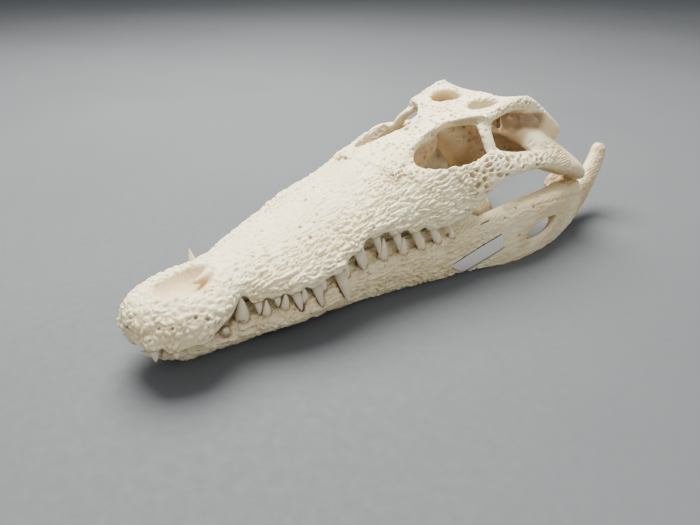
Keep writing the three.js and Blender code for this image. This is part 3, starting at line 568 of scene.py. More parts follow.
# wall across the back of the temple, from the braincase to the quadrate
TEMPORAL_WALL = bar([
    ((5, 96.5, 22.3), (0.3, 1, 0), (0, 0, 5.8)),
    ((10, 98.5, 22), (0.3, 1, 0), (0, 0, 5.4)),
    ((14.6, 100.6, 20.6), (0.3, 1, 0), (0, 0, 3.6)),
    ((18, 102.6, 18.4), (0.2, 0.8, 0), (0, 0, 1.4)),
])

# closes the ear's recess behind, under the table
EAR_WALL = bar([
    ((8.5, 96.4, 29), (0.3, 0.8, 0), (0, 0, 2.8)),
    ((12, 97.8, 28.6), (0.3, 0.8, 0), (0, 0, 2.8)),
    ((15.4, 100, 27), (0.3, 0.8, 0), (0, 0, 2.2)),
])

# thin wall between the front of the orbit and the palate
ORBIT_PILLAR = bar([
    ((2.6, 72, 27.4), (0.8, 0, 0), (0, 5.6, 0)),
    ((2.9, 72.4, 24.4), (0.6, 0, 0), (0, 5.2, 0)),
    ((2.9, 70.4, 20.8), (0.7, 0, 0), (0, 3.2, 0)),
    ((2.4, 69, 17.4), (1.2, 0, 0), (0, 2.8, 0)),
])

PALATE_STRIP = bar([
    ((0, 50, 17.2), (4.4, 0, 0), (0, 0, 1.6)),
    ((0, 60, 17), (3.4, 0, 0), (0, 0, 1.5)),
    ((0, 72, 16.2), (2.7, 0, 0), (0, 0, 1.4)),
    ((0, 80, 14.6), (3.8, 0, 0), (0, 0, 1.3)),
    ((0, 88, 13.2), (6, 0, 0), (0, 0, 1.3)),
    ((0, 96, 12.8), (4.6, 0, 0), (0, 0, 1.4)),
])
PTERYGOID_WING = bar([
    ((2, 87, 13.2), (0, 7, 0.2), (0, 0, 1.2)),
    ((7.6, 86.8, 10.6), (0, 5, -0.8), (0.3, 0, 0.9)),
    ((11.8, 86.4, 8.6), (0, 4.4, -1.1), (0.7, 0, 0.8)),
    ((13, 86.2, 7.6), (0, 3.6, -1), (0.7, 0, 0.6)),
])
ECTOPTERYGOID = bar([
    ((16.3, 68.5, 17.4), (0, 2.6, 0.4), (1.1, 0, 0.4)),
    ((15.9, 74, 15.4), (0, 1.8, 1.6), (1.1, 0, 0.3)),
    ((14.6, 79.6, 12.8), (0, 1.4, 1.8), (1, 0.1, 0.2)),
    ((13.2, 85, 9.8), (0, 1.6, 1.4), (0.9, 0.2, 0.2)),
])


def palate_ledge():
    """The palate hangs down on the inner side of the upper teeth."""
    stations = []
    for y in (20, 24, 29, 35, 41, 47, 53, 59, 65):
        low = jaw_top(y) + 0.2
        high = upper_margin(y) + PALATE_VAULT + 0.5
        stations.append(((jaw_inner(y) - 0.9, y, (low + high) / 2), (0.6, 0, 0), (0, 0, (high - low) / 2)))
    return bar(stations)


NOSTRIL_SPINE = bar([
    ((0, 19.4, 14.2), (1.9, 0, 0), (0, 0, 1.3)),
    ((0.2, 16.4, 14.3), (1.2, 0, 0), (0, 0, 1)),
    ((0.3, 12.8, 13.9), (0.35, 0, 0), (0, 0, 0.4)),
])


def orbit_mouth():
    """The orbit leans outwards: an egg-shaped shaft, narrowing inwards."""
    across = np.array([0.85, 0, -0.53])
    outward = np.array([0.53, 0, 0.85])
    angle = 2 * np.pi * np.arange(64) / 64
    breadth = 5.9 * np.sin(angle) * (1 - 0.24 * np.cos(angle))
    rings = []
    for depth, size in ((-9, 0.86), (-2, 1), (10, 1)):
        lengthwise = np.stack([0 * angle, -10.3 * size * np.cos(angle), -0.9 * np.cos(angle)], axis=1)
        middle = np.array([9.3, 73.7, 26.3]) + outward * depth
        rings.append(middle + breadth[:, None] * size * across + lengthwise)
    return loft(rings)


PALATE_WINDOW = bar([
    ((8, 66.5, 5), (3.9, 0, 0), (0.6, 12.4, 0)),
    ((8, 66.5, 22), (3.9, 0, 0), (0.6, 12.4, 0)),
], steps=2)

TABLE_WINDOW = bar([
    ((5.3, 91.3, 40), (3.6, 0, 0), (0, 5, 0)),
    ((5.5, 91.3, 31.8), (3.2, 0, 0), (0, 4.6, 0)),
    ((7.4, 91.2, 28.6), (2.5, 0, 0), (0, 3.8, 0)),
    ((8.6, 90.6, 20), (1.9, 0, 0), (0, 3.2, 0)),
])


def both_sides(place):
    x, y, z = place
    return [(x, y, z), (-x, y, z)]


def cranium():
    """The cranium's clay, and the same before its hollows are cut."""
    clay = Clay()
    clay.add(snout_shape())
    clay.add(roof_shape(), blend=1.2)
    clay.add(FRONT_RIM, blend=1.2)
    clay.add_both(palate_ledge(), blend=0.8)
    clay.add(PALATE_STRIP, blend=1)
    clay.add_both(PTERYGOID_WING, blend=1)
    clay.add_both(ECTOPTERYGOID, blend=1)
    clay.add(BRAINCASE, blend=1)
    clay.add(BRAINCASE_KEEL, blend=1)
    clay.add_both(BASAL_TUBER, blend=1)
    clay.add_both(cheek_shape(), blend=1.6)
    clay.add_both(QUADRATE, blend=1.2)
    clay.add_both(OCCIPITAL_WING, blend=1)
    clay.add_both(TABLE_HORN, blend=1)
    clay.add_both(SQUAMOSAL_PLATE, blend=1)
    clay.add_both(TEMPORAL_WALL, blend=0.8)
    clay.add_both(QUADRATE_SHELF, blend=0.6)
    for tooth in UPPER:
        for one in (tooth, tooth.flipped()):
            clay.add_egg(one.base + [0, 0, 0.1], one.radius * np.array([1.35, 1.55, 1.7]), blend=0.9)
    whole = Clay(clay)

    clay.cut_both(orbit_mouth(), blend=0.5)
    clay.cut_both(PALATE_WINDOW)
    clay.cut_both(TABLE_WINDOW, blend=0.5)
    for place in both_sides((7.4, 71, 19.9)):
        clay.cut_egg(place, (5.9, 11, 6), blend=0.8)
    for side in (1, -1):
        leaning = turned(0, side * 0.25, side * -0.25)
        clay.cut_egg((side * 14.2, 93.4, 29.3), (4.4, 6.2, 2), leaning, blend=0.5)
        clay.cut_egg((side * 12.4, 92.4, 28.6), (2.8, 4.4, 2), turned(0, side * 0.3), blend=0.5)
    clay.cut_egg((0, 11, 16.8), (4.7, 6.2, 4.6), turned(0.06), blend=0.6)
    clay.cut_egg((0, 98.6, 25), (1.9, 3.4, 1.7))
    clay.add_egg((0, 100.4, 21.4), (1.9, 1.9, 1.7))
    clay.add_both(EAR_WALL, blend=0.6)
    clay.add_both(ORBIT_PILLAR, blend=1)
    clay.add_both(POSTORBITAL_BAR, blend=0.9)
    clay.add(NOSTRIL_SPINE, blend=0.6)

    # room for the lower teeth, and a narrow groove round each upper one
    for tooth in LOWER_LEFT + mirrored(LOWER_RIGHT):
        clay.cut(crown(tooth, root=0, grow=0.42), blend=0.25)
    clay.soften()
    return clay, whole


# ------------------------------------------------------------------ lower jaw
def jaw_ring(y):
    outer, inner, keel = jaw_outer(y), jaw_inner(y), jaw_keel(y)
    top, bottom = jaw_top(y), jaw_bottom(y)
    square = jaw_squareness(y)
    crown_side = [(0.1, 0.94), (0.3, 1), (0.76, 1), (0.95, 0.88), (1, 0.68)]
    corners = [(inner + across * (outer - inner), up) for across, up in crown_side]
    outer_side = [(0.66 + 0.28 * square, 0.4), (0.3 + 0.4 * square, 0.16), (0.05 + 0.2 * square, 0.02)]
    corners += [(keel + across * (outer - keel), up) for across, up in outer_side]
    inner_side = [(0.12, 0.02), (0.62, 0.2), (0.96, 0.5), (1, 0.76)]
    corners += [(keel + across * (inner - keel), up) for across, up in inner_side]
    ring = spline([(x, y, bottom + up * (top - bottom)) for x, up in corners], 4, closed=True)
    ring[:, 0] = np.maximum(ring[:, 0], inner)
    return ring


RETROARTICULAR = bar([
    ((20, 118, 8.6), (2, 0, 0), (0, 1, 3)),
    ((19.9, 122.5, 9.6), (2.1, 0, 0), (0, -1.6, 3)),
    ((19.7, 126, 11.6), (2.1, 0, 0), (0, -2.4, 2)),
    ((19.5, 128, 14.4), (2, 0, 0), (0, -2.3, 0.9)),
    ((19.3, 128.8, 16.6), (1.7, 0, 0), (0, -1.8, 0.4)),
    ((19.2, 129, 17.6), (0.9, 0, 0), (0, -0.9, 0.2)),
])


# raised edge of the jaw on the inner side of its teeth: station, rise above the jaw's top
BED_RISES = (
    (20, 1.2), (25, 1.4), (31, 0.9), (37, 1), (43, 1.9), (50, 2.2), (57, 2.4), (63, 2.4), (69, 2), (74, 0.8))


def tooth_bed():
    half_height = 1.4
    return bar([
        ((jaw_inner(y) + 0.9, y, jaw_top(y) + rise - half_height), (0.8, 0, 0), (0, 0, half_height))
        for y, rise in BED_RISES])


JAW_WINDOW = bar([
    ((32, 91.4, 7), (0, 5.3, 0.9), (0, -0.6, 1.4)),
    ((14, 91.6, 6.4), (0, 6.4, 0.9), (0, -0.8, 2.4)),
], steps=2)

# lip of the jaw joint, on the inner side
JOINT_HOOK = bar([
    ((17.4, 105.8, 12), (0.9, 0, 0), (0, 0.8, 1.1)),
    ((17.2, 108.6, 12.2), (1.2, 0, 0), (0, 0.4, 1.3)),
    ((17.8, 111.4, 10.8), (1.3, 0, 0), (0, -0.4, 1.6)),
])


def jaw(teeth):
    """One side of the lower jaw, on the animal's left, with its own teeth's sockets."""
    clay = Clay()
    clay.add(loft([jaw_ring(y) for y in np.arange(JAW_TIP, 125.01, 0.6)]))
    clay.add(RETROARTICULAR, blend=1)
    clay.add(tooth_bed(), blend=0.9)
    clay.add(JOINT_HOOK, blend=0.8)
    clay.add_egg((20.4, 110, 11.5), (3.4, 3.2, 1.5), blend=0.6)
    clay.add_egg((21.3, 82, 13.9), (0.9, 2.2, 1), blend=0.8)
    for tooth in teeth:
        clay.add_egg(tooth.base, tooth.radius * np.array([1.3, 1.5, 1.2]), blend=0.9)
    whole = Clay(clay)
    clay.cut(JAW_WINDOW, blend=0.5)
    clay.cut_egg((26.6, 88.5, 5.6), (2, 9.5, 3.4), turned(0.15), blend=0.6)
    clay.cut_egg((18.6, 92, 9.6), (2.2, 14, 4.6), turned(0, 0, 0.12), blend=0.6)
    clay.cut_egg((19.4, 94, 4.6), (4.7, 10, 4.7), blend=0.6)
    for tooth in UPPER:
        clay.cut(crown(tooth, root=0, grow=0.4), blend=0.3)
    x = Clay.centres(WHOLE_GRID)[0]
    clay.d = np.maximum(clay.d, (CHIN_HALF_GAP - x).astype(np.float32))
    clay.soften()
    clay.cut_below(0.0)
    return clay, whole


# ------------------------------------------------------------------ noise
def _hash(cells, salt):
    """Pseudo-random numbers in 0..1 for whole-number cells."""
    x, y, z = (cells[..., i].astype(np.int64) for i in range(3))
    n = (x * 73856093 ^ y * 19349663 ^ z * 83492791 ^ salt * 2654435761) & 0xFFFFFFFF
    n = ((n ^ (n >> 15)) * 2246822519) & 0xFFFFFFFF
    n = ((n ^ (n >> 13)) * 3266489917) & 0xFFFFFFFF
    return ((n ^ (n >> 16)) & 0xFFFFFF) / float(0x1000000)


def noise(points, salt=0):
    """Smooth noise, about -1..1, with features about one unit across."""
    base = np.floor(points).astype(np.int64)
    part = points - base
    ease = part * part * part * (part * (part * 6 - 15) + 10)
    total = np.zeros(len(points))
    for corner in np.ndindex(2, 2, 2):
        cell = base + corner
        lean = [_hash(cell, salt * 3 + axis) * 2 - 1 for axis in range(3)]
        ramp = sum(lean[i] * (part[:, i] - corner[i]) for i in range(3))
        weight = np.prod([ease[:, i] if corner[i] else 1 - ease[:, i] for i in range(3)], axis=0)
        total += weight * ramp
    return total * 1.6


def rough(points, octaves=3, salt=0):
    """Layered noise, about -1..1."""
    total = np.zeros(len(points))
    for k in range(octaves):
        total += noise(points * 2.03**k + 17.7 * k, salt + k) * 0.5**k
    return total / 1.5


def cells(points, salt=0, jitter=0.85):
    """Distances to the nearest and second nearest scattered points, one to a unit cell."""
    base = np.floor(points).astype(np.int64)
    nearest = np.full(len(points), 9.0)
    second = np.full(len(points), 9.0)
    for offset in np.ndindex(3, 3, 3):
        cell = base + np.array(offset) - 1
        seed = np.stack([_hash(cell, salt + axis) for axis in range(3)], axis=1)
        gap = np.linalg.norm(cell + 0.5 + (seed - 0.5) * jitter - points, axis=1)
        second = np.minimum(second, np.maximum(nearest, gap))
        nearest = np.minimum(nearest, gap)
    return nearest, second


# ------------------------------------------------------------------ bone surfaces
class Bone:
    """A mesh of bone with its sculpture and the tints that its material reads: stains and tones, and painted
    shade in pits, creases and hollows.
    """

    def __init__(self, name, clay, whole):
        self.name = name
        self.points, self.quads = clay.surface()
        self.clay = clay
        self.outside = smoothstep(-0.75, -0.2, whole.sample(self.points))
        self.height = np.zeros(len(self.points))
        self.tints = {tint: np.zeros(len(self.points)) for tint in ("stain_and_shade", "hollow_shade_and_dirt", "warm_tone_and_shade", "green")}
        self.normals = self._normals()

    def _normals(self):
        p = self.points[self.quads]
        face = np.cross(p[:, 2] - p[:, 0], p[:, 3] - p[:, 1])
        total = np.zeros_like(self.points)
        for corner in range(4):
            for axis in range(3):
                total[:, axis] += np.bincount(self.quads[:, corner], face[:, axis], len(self.points))
        length = np.linalg.norm(total, axis=1, keepdims=True)
        normals = total / np.maximum(length, 1e-9)
        # the grid's faces may turn either way: outwards is where distances grow
        probe = slice(None, None, 997)
        growing = self.clay.sample(self.points[probe] + 0.5 * normals[probe])
        return normals if np.median(growing) > 0 else -normals

    def sculpt(self, amount, mask):
        """Raises the surface, or lowers it where the amount is negative."""
        self.height += amount * mask

    def tint(self, name, amount):
        """Tints don't add up: the strongest one at a point counts."""
        self.tints[name] = np.maximum(self.tints[name], amount)

    def near(self, place, radius, edge=0.4):
        """Soft mask of a ball."""
        gap = np.linalg.norm(self.points - place, axis=1)
        return fade(radius * (1 - edge), radius * (1 + edge), gap)

    def near_both(self, place, radius, edge=0.4):
        """Soft mask of a ball and its mirror image."""
        return np.clip(sum(self.near(one, radius, edge) for one in both_sides(place)), 0, 1)

    def pit(self, place, radius, depth, stain_and_shade=0.8):
        """One small hole, such as the mouth of a nerve's canal."""
        mask = self.near(place, radius)
        self.sculpt(-depth, mask)
        # the hole is darkened: painted shade inside it, with some dirt
        self.tint("stain_and_shade", stain_and_shade * mask)

    def enclosure(self):
        """How much bone stands in front of each point, 0 on open surfaces and 1 deep in a hollow."""
        coarse = 8
        solid = (self.clay.d < 0).astype(np.float32)
        trimmed = [n // coarse * coarse for n in solid.shape]
        block = solid[:trimmed[0], :trimmed[1], :trimmed[2]]
        shape = [v for n in trimmed for v in (n // coarse, coarse)]
        block = block.reshape(shape).mean(axis=(1, 3, 5))
        total = np.zeros(len(self.points))
        for reach in (2.5, 5.0, 8.0):
            place = (self.points + reach * self.normals - GRID_LOW) / (VOXEL * coarse) - 0.5
            place = np.clip(place, 0, np.array(block.shape) - 1.001)
            base = place.astype(int)
            part = place - base
            for corner in np.ndindex(2, 2, 2):
                weight = np.prod(np.where(corner, part, 1 - part), axis=1)
                i, j, k = (base + corner).T
                total += weight * block[i, j, k]
        return smoothstep(0.15, 1.3, total)

    def build(self, material):
        """The finished piece, in the row frame."""
        places = to_row(self.points + self.height[:, None] * self.normals)
        places[:, 2] = np.maximum(places[:, 2], 0)
        piece = mesh_piece(self.name, places, self.quads, material)
        for name, values in self.tints.items():
            layer = piece.data.attributes.new(name, "FLOAT", "POINT")
            layer.data.foreach_set("value", np.clip(values, 0, 1).astype(np.float32))
        return piece


def mesh_piece(name, points, faces, material):
    """An object from arrays of points and faces of one length."""
    mesh = bpy.data.meshes.new(name)
    faces = np.asarray(faces)
    count, sides = faces.shape
    mesh.vertices.add(len(points))
    mesh.vertices.foreach_set("co", np.asarray(points, np.float32).ravel())
    mesh.loops.add(count * sides)
    mesh.loops.foreach_set("vertex_index", faces.astype(np.int32).ravel())
    mesh.polygons.add(count)
    mesh.polygons.foreach_set("loop_start", np.arange(0, count * sides, sides, dtype=np.int32))
    mesh.polygons.foreach_set("use_smooth", np.ones(count, bool))
    mesh.update(calc_edges=True)
    mesh.validate()
    mesh.materials.append(material)
    piece = bpy.data.objects.new(name, mesh)
    bpy.context.scene.collection.objects.link(piece)
    return piece


def lumps(bone, mask, size, depth, salt):
    """Rounded swellings."""
    bone.sculpt(depth * rough(bone.points / size, 2, salt), mask)


def ridges(bone, mask, along, across, depth, salt):
    """Long wavering ridges that run down the skull, with sharp furrows between them."""
    warp = rough(bone.points / 5.0, 2, salt + 7)
    stretched = bone.points / np.array([across, along, across])
    field = noise(stretched + 0.55 * warp[:, None], salt)
    furrow = np.exp(-(field / 0.16)**2)
    bone.sculpt(depth * (np.abs(field) * 1.2 - 1.0 * furrow), mask)
    patchy = smoothstep(-0.3, 0.5, noise(bone.points / 2.7, salt + 11))
    # the furrows are darkened: partly dirt, partly painted shade in them
    bone.tint("stain_and_shade", 1.6 * depth * furrow * mask * patchy)


def cobbles(bone, mask, size, depth, salt, stain_and_shade=0.3):
    """Rounded lumps with narrow creases between them."""
    warped = bone.points + 0.5 * size * np.stack(
        [rough(bone.points / (1.5 * size), 2, salt + k) for k in range(3)], axis=1)
    nearest, second = cells(warped / size, salt)
    lump = smoothstep(0.0, 0.5, second - nearest)
    uneven = 0.5 + 0.5 * smoothstep(-0.5, 0.5, noise(bone.points / 2.0, salt + 3))
    bone.sculpt(depth * (lump - 0.6) * uneven, mask)
    # the creases are darkened: partly dirt, partly painted shade in them
    bone.tint("stain_and_shade", stain_and_shade * fade(0.0, 0.3, second - nearest) * mask * uneven)


def honeycomb(bone, mask, size, depth, salt, stretch=(1, 1, 1), stain_and_shade=0.5):
    """Crowded pits with walls between them."""
    warped = bone.points + 0.35 * size * np.stack(
        [rough(bone.points / (1.7 * size), 2, salt + k) for k in range(3)], axis=1)
    nearest, second = cells(warped / (size * np.array(stretch)), salt)
    pit = smoothstep(0.1, 0.42, second - nearest)
    deep = 0.55 + 0.45 * noise(bone.points / (2.2 * size), salt + 3)
    bone.sculpt(-depth * pit * np.clip(deep, 0.15, 1), mask)
    # the pits are darkened: painted shade inside them, with some dirt
    bone.tint("stain_and_shade", stain_and_shade * smoothstep(0.35, 0.9, pit) * mask * np.clip(deep + 0.2, 0, 1))


def scattered_pits(bone, mask, size, radius, depth, salt, share=0.5, stain_and_shade=0.5, length=1.0):
    """Separate pits, one in some of the cells of a grid; length above 1 draws them out along the skull."""
    nearest, _ = cells(bone.points / (size * np.array([1, length, 1])), salt, jitter=0.7)
    chosen = smoothstep(0.0, 0.12, noise(bone.points / (1.9 * size), salt + 5) + share - 0.5)
    pit = fade(radius * 0.45, radius, nearest * size)
    bone.sculpt(-depth * pit, mask * chosen)
    # the pits are darkened: painted shade inside them, with some dirt
    bone.tint("stain_and_shade", stain_and_shade * pit * mask * chosen)


def pores(bone, mask, size, radius, salt, share=0.35, stain_and_shade=0.75):
    """Tiny dark holes."""
    scattered_pits(bone, mask, size, radius, 0.18, salt, share, stain_and_shade)


def groove(bone, path, width, depth, stain_and_shade=0.5, wave=0.0, salt=90):
    """A thin line cut along a path of stations, such as a suture or a crack."""
    line = spline(path, 10)
    reach = 3 * width + wave
    low, high = line.min(axis=0) - reach, line.max(axis=0) + reach
    close = np.flatnonzero(np.all((bone.points > low) & (bone.points < high), axis=1))
    if len(close) == 0:
        return
    places = bone.points[close]
    if wave:
        places = places + wave * np.stack([noise(places / 0.9, salt + k) for k in range(3)], axis=1)
    best = np.full(len(close), 9.0)
    for start, end in zip(line[:-1], line[1:]):
        step = end - start
        share = np.clip((places - start) @ step / (step @ step), 0, 1)
        best = np.minimum(best, np.linalg.norm(places - start - share[:, None] * step, axis=1))
    mask = np.zeros(len(bone.points))
    mask[close] = fade(0.35 * width, width, best)
    bone.sculpt(-depth, mask)
    bone.tint("stain_and_shade", stain_and_shade * mask)


# nerve holes of the upper jaw, as (station, radius, depth)
SNOUT_FORAMINA = (
    ((8.4, 8.2, 12.8), 0.34, 0.5), ((9.3, 9.9, 12.0), 0.36, 0.5), ((9.8, 11.7, 10.6), 0.4, 0.5),
    ((7.4, 4.2, 11.9), 0.34, 0.5), ((6.0, 2.4, 12.1), 0.26, 0.4),
    ((4.7, 9.0, 14.7), 0.3, 0.4), ((6.6, 34.9, 17.5), 0.42, 0.35), ((9.4, 43.4, 19.6), 0.4, 0.35),
    ((3.0, 24.0, 16.2), 0.35, 0.35), ((-2.2, 30.2, 17.4), 0.35, 0.35), ((3.3, 35.3, 18.4), 0.38, 0.35),
    ((-2.3, 41.5, 20.4), 0.4, 0.4), ((-6.1, 56.7, 24.7), 0.5, 0.45), ((-4.2, 7.4, 14.7), 0.3, 0.5),
    ((7.0, 14.5, 14.4), 0.3, 0.35), ((5.5, 17.3, 15.0), 0.28, 0.3),
)
JAW_FORAMINA = (
    ((17.3, 59.3, 9.4), 0.3, 0.4), ((18.8, 64.8, 7.4), 0.32, 0.4), ((22.3, 78.6, 12.4), 0.3, 0.35),
    ((22.6, 82.3, 13.8), 0.32, 0.35), ((24.4, 87.1, 13.1), 0.35, 0.4), ((23.0, 91.0, 14.3), 0.35, 0.35),
    ((24.1, 83.0, 7.1), 0.4, 0.5),
)
# places of the ear's recess under the table, darkened: partly its own orange-brown bone, partly painted shade
# under the table's rim
EAR_STAIN_AND_SHADE = ((10.6, 91, 28.8), (10.8, 94, 29.2), (11.9, 96.4, 29), (13.4, 98.4, 29), (14.8, 99.5, 29.1))
BRAIN_FORAMINA = (((4.3, 85.7, 20.4), 0.8, 1.3), ((5.0, 92.4, 20.7), 0.7, 1.1))


def sculpt_cranium(bone):
    x, y, z = bone.points.T
    side = np.abs(x)
    up = bone.normals[:, 2]
    outer = bone.outside * smoothstep(-0.45, -0.1, up)
    above_teeth = z - upper_margin(y)
    muzzle = outer * fade(14, 20, y)
    snout = outer * between(y, 13, 20, 56, 62)
    flank = smoothstep(0.25, 0.7, side / snout_half_width(y))
    roof = outer * smoothstep(56, 61, y) * fade(11, 13.5, side)
    cheek_band = outer * smoothstep(11.5, 14.5, side) * fade(27.5, 29, z)
    jugal = cheek_band * between(y, 66, 74, 94, 98) * fade(25, 26.5, z)
    jugal *= smoothstep(14.5, 17, side + 0.25 * (90 - np.maximum(y, 86)))
    front_cheek = cheek_band * between(y, 54, 62, 70, 78)
    rear_cheek = cheek_band * between(y, 94, 98, 103, 106) * smoothstep(17.5, 19.5, side)
    table_edge = outer * smoothstep(80, 83, y) * smoothstep(8.5, 10.5, side) * smoothstep(29.5, 31, z)

    lumps(bone, outer, 3.2, 0.14, 1)
    spine = bone.near((0.2, 16, 14.4), 3.2, 0.3)
    muzzle = muzzle * (1 - spine)
    lumps(bone, muzzle, 1.5, 0.32, 2)
    cobbles(bone, muzzle, 1.35, 0.36, 3, stain_and_shade=0.5)
    pores(bone, muzzle, 1.3, 0.24, 4, share=0.55)
    cobbles(bone, snout * fade(18, 28, y), 1.5, 0.36, 31, stain_and_shade=0.3)
    ridges(bone, snout * (0.4 + 0.6 * flank) * smoothstep(15, 25, y), 3.6, 0.9, 0.3, 5)
    ridges(bone, snout * (0.4 + 0.6 * flank), 1.7, 0.5, 0.16, 6)
    scattered_pits(bone, snout, 1.6, 0.42, 0.3, 7, share=0.6, stain_and_shade=0.4)
    pores(bone, snout * fade(2.2, 4, above_teeth), 1.0, 0.24, 8, share=0.55, stain_and_shade=0.65)
    ridges(bone, front_cheek, 3.4, 0.8, 0.36, 9)
    ridges(bone, front_cheek, 1.8, 0.45, 0.17, 19)
    honeycomb(bone, jugal, 1.5, 1.25, 10, stretch=(1, 1.4, 1), stain_and_shade=1.0)
    ridges(bone, rear_cheek, 3.6, 0.6, 0.2, 12)
    honeycomb(bone, table_edge, 1.1, 0.7, 13, stain_and_shade=0.55)
    scattered_pits(bone, roof * (1 - table_edge), 1.4, 0.56, 0.5, 14, share=1.0, stain_and_shade=0.6)
    lumps(bone, roof, 1.1, 0.22, 20)
    pores(bone, roof, 1.5, 0.22, 15, share=0.45, stain_and_shade=0.35)
    honeycomb(bone, outer * bone.near_both((7.5, 58, 24.8), 3.4, 0.5), 0.9, 0.5, 16, stain_and_shade=0.75)
    smooth_walls = (1 - bone.outside) + fade(-0.45, -0.1, up) * bone.outside
    lumps(bone, smooth_walls, 2.4, 0.08, 17)
    pores(bone, smooth_walls, 2.6, 0.22, 18, share=0.25, stain_and_shade=0.5)

    for place, radius, depth in SNOUT_FORAMINA:
        bone.pit(place, radius, depth)
    for place, radius, depth in BRAIN_FORAMINA:
        for one in both_sides(place):
            bone.pit(one, radius, depth, stain_and_shade=1)

    groove(bone, [(0.2, 19, 15.9), (0.1, 30, 17.6), (0, 45, 21.7), (0, 56, 25.2)], 0.16, 0.07, 0.16, 0.25)
    for turn in (1, -1):
        groove(bone, [(turn * 2.4, 24, 16.2), (turn * 4.6, 19, 15.4), (turn * 7.2, 17.4, 13.5)],
               0.2, 0.09, 0.2, 0.3)
        groove(bone, [(turn * 3.4, 28, 17), (turn * 4.4, 42, 20.3), (turn * 5, 54, 24)],
               0.16, 0.06, 0.14, 0.25)

    under_edge = fade(30, 31.2, z)
    # the ear's recess: darker and warmer, partly its own orange-brown bone, partly painted shade
    for place in EAR_STAIN_AND_SHADE:
        ear = bone.near_both(place, 3, 0.5) * under_edge * smoothstep(26.2, 27.2, z)
        bone.tint("stain_and_shade", 0.78 * ear * smoothstep(-1.2, 0.2, noise(bone.points / 2.5, 42)))
        bone.tint("warm_tone_and_shade", ear)
    bone.tint("warm_tone_and_shade", smoothstep(96, 107, y) * fade(27, 31, z) * 0.75)
    bone.tint("green", smoothstep(101, 107, y) * smoothstep(0.0, 0.5, noise(bone.points / 3, 40)) * 0.6)
    cut_faces = 1 - bone.outside
    # the nostril's inner walls, warmer and a little darker: partly their own warmer bone, partly painted
    # shade
    nostril = bone.near((0, 11, 13.6), 6.4, 0.3) * cut_faces
    bone.tint("warm_tone_and_shade", 0.9 * nostril)
    bone.tint("hollow_shade_and_dirt", 0.25 * nostril)
    # painted shade on the palate's underside inside the upper tooth rows, so the gaps between the teeth read
    # dark
    mouth = smoothstep(0.1, 0.5, -up) * fade(70, 76, y) * fade(3, 5, above_teeth)
    mouth *= smoothstep(0.7, 2.0, snout_half_width(y) - side)
    bone.tint("hollow_shade_and_dirt", 0.6 * mouth)
    bone.tint("warm_tone_and_shade", 0.5 * mouth)
    # painted shade on the cut faces round the orbits and the windows of the palate
    bone.tint("hollow_shade_and_dirt", 0.8 * bone.near_both((8, 74, 22), 15, 0.15) * cut_faces)
    # painted shade deep in the orbits, near the middle
    bone.tint("stain_and_shade", 0.3 * fade(3.5, 5, side) * fade(25, 27, z) * between(y, 62, 65, 74, 80))
    # painted shade on what lies under the skull roof, near the middle
    midway = fade(7.5, 9, side)
    under_roof = fade(-2.4, -1.2, z - roof_top(y))
    bone.tint("hollow_shade_and_dirt", 0.85 * midway * under_roof * between(y, 59, 62, 97, 99))
    # painted shade behind the postorbital bar, in the temple
    behind_bar = fade(14.5, 16.5, side) * between(y, 84, 88, 102, 104)
    bone.tint("hollow_shade_and_dirt", behind_bar * fade(26.5, 28.5, z))
    bone.tint("stain_and_shade", 0.4 * behind_bar * fade(25.5, 27.5, z))
    bone.tint("warm_tone_and_shade", 0.5 * bone.near_both((6, 91, 31), 6.5, 0.2) * cut_faces)
    socket_stain_and_shade(bone, UPPER + mirrored(UPPER) + LOWER_LEFT + mirrored(LOWER_RIGHT))


def socket_stain_and_shade(bone, teeth):
    """Brown lines in the bone where teeth stand in it or close against it: partly stain, partly painted shade
    in the gaps.
    """
    for tooth in teeth:
        axis = tooth.tip - tooth.base
        low = np.minimum(tooth.base, tooth.tip) - 2.5
        high = np.maximum(tooth.base, tooth.tip) + 2.5
        close = np.flatnonzero(np.all((bone.points > low) & (bone.points < high), axis=1))
        places = bone.points[close]
        share = np.clip((places - tooth.base) @ axis / (axis @ axis), 0, 1)
        gap = np.linalg.norm(places - tooth.base - share[:, None] * axis, axis=1)
        gap -= tooth_size(tooth, share)
        mask = np.zeros(len(bone.points))
        mask[close] = fade(0.15, 0.5, gap)
        bone.tint("stain_and_shade", 0.8 * mask)


# the label's corners on the left jaw: front top, rear top, front bottom, rear bottom
LABEL = np.array([(18.3, 64.4, 4.2), (22.4, 77.6, 8.9), (18.5, 69.5, 0.7), (22.9, 78.9, 5.2)])


def label_mask(points):
    """1 under the label, with a soft edge."""
    centre = LABEL.mean(axis=0)
    along = LABEL[1] - LABEL[0]
    along /= np.linalg.norm(along)
    across = np.cross(along, [1, 0, 0])
    offset = points - centre
    return fade(6, 8, np.abs(offset @ along)) * fade(1.8, 3, np.abs(offset @ across))


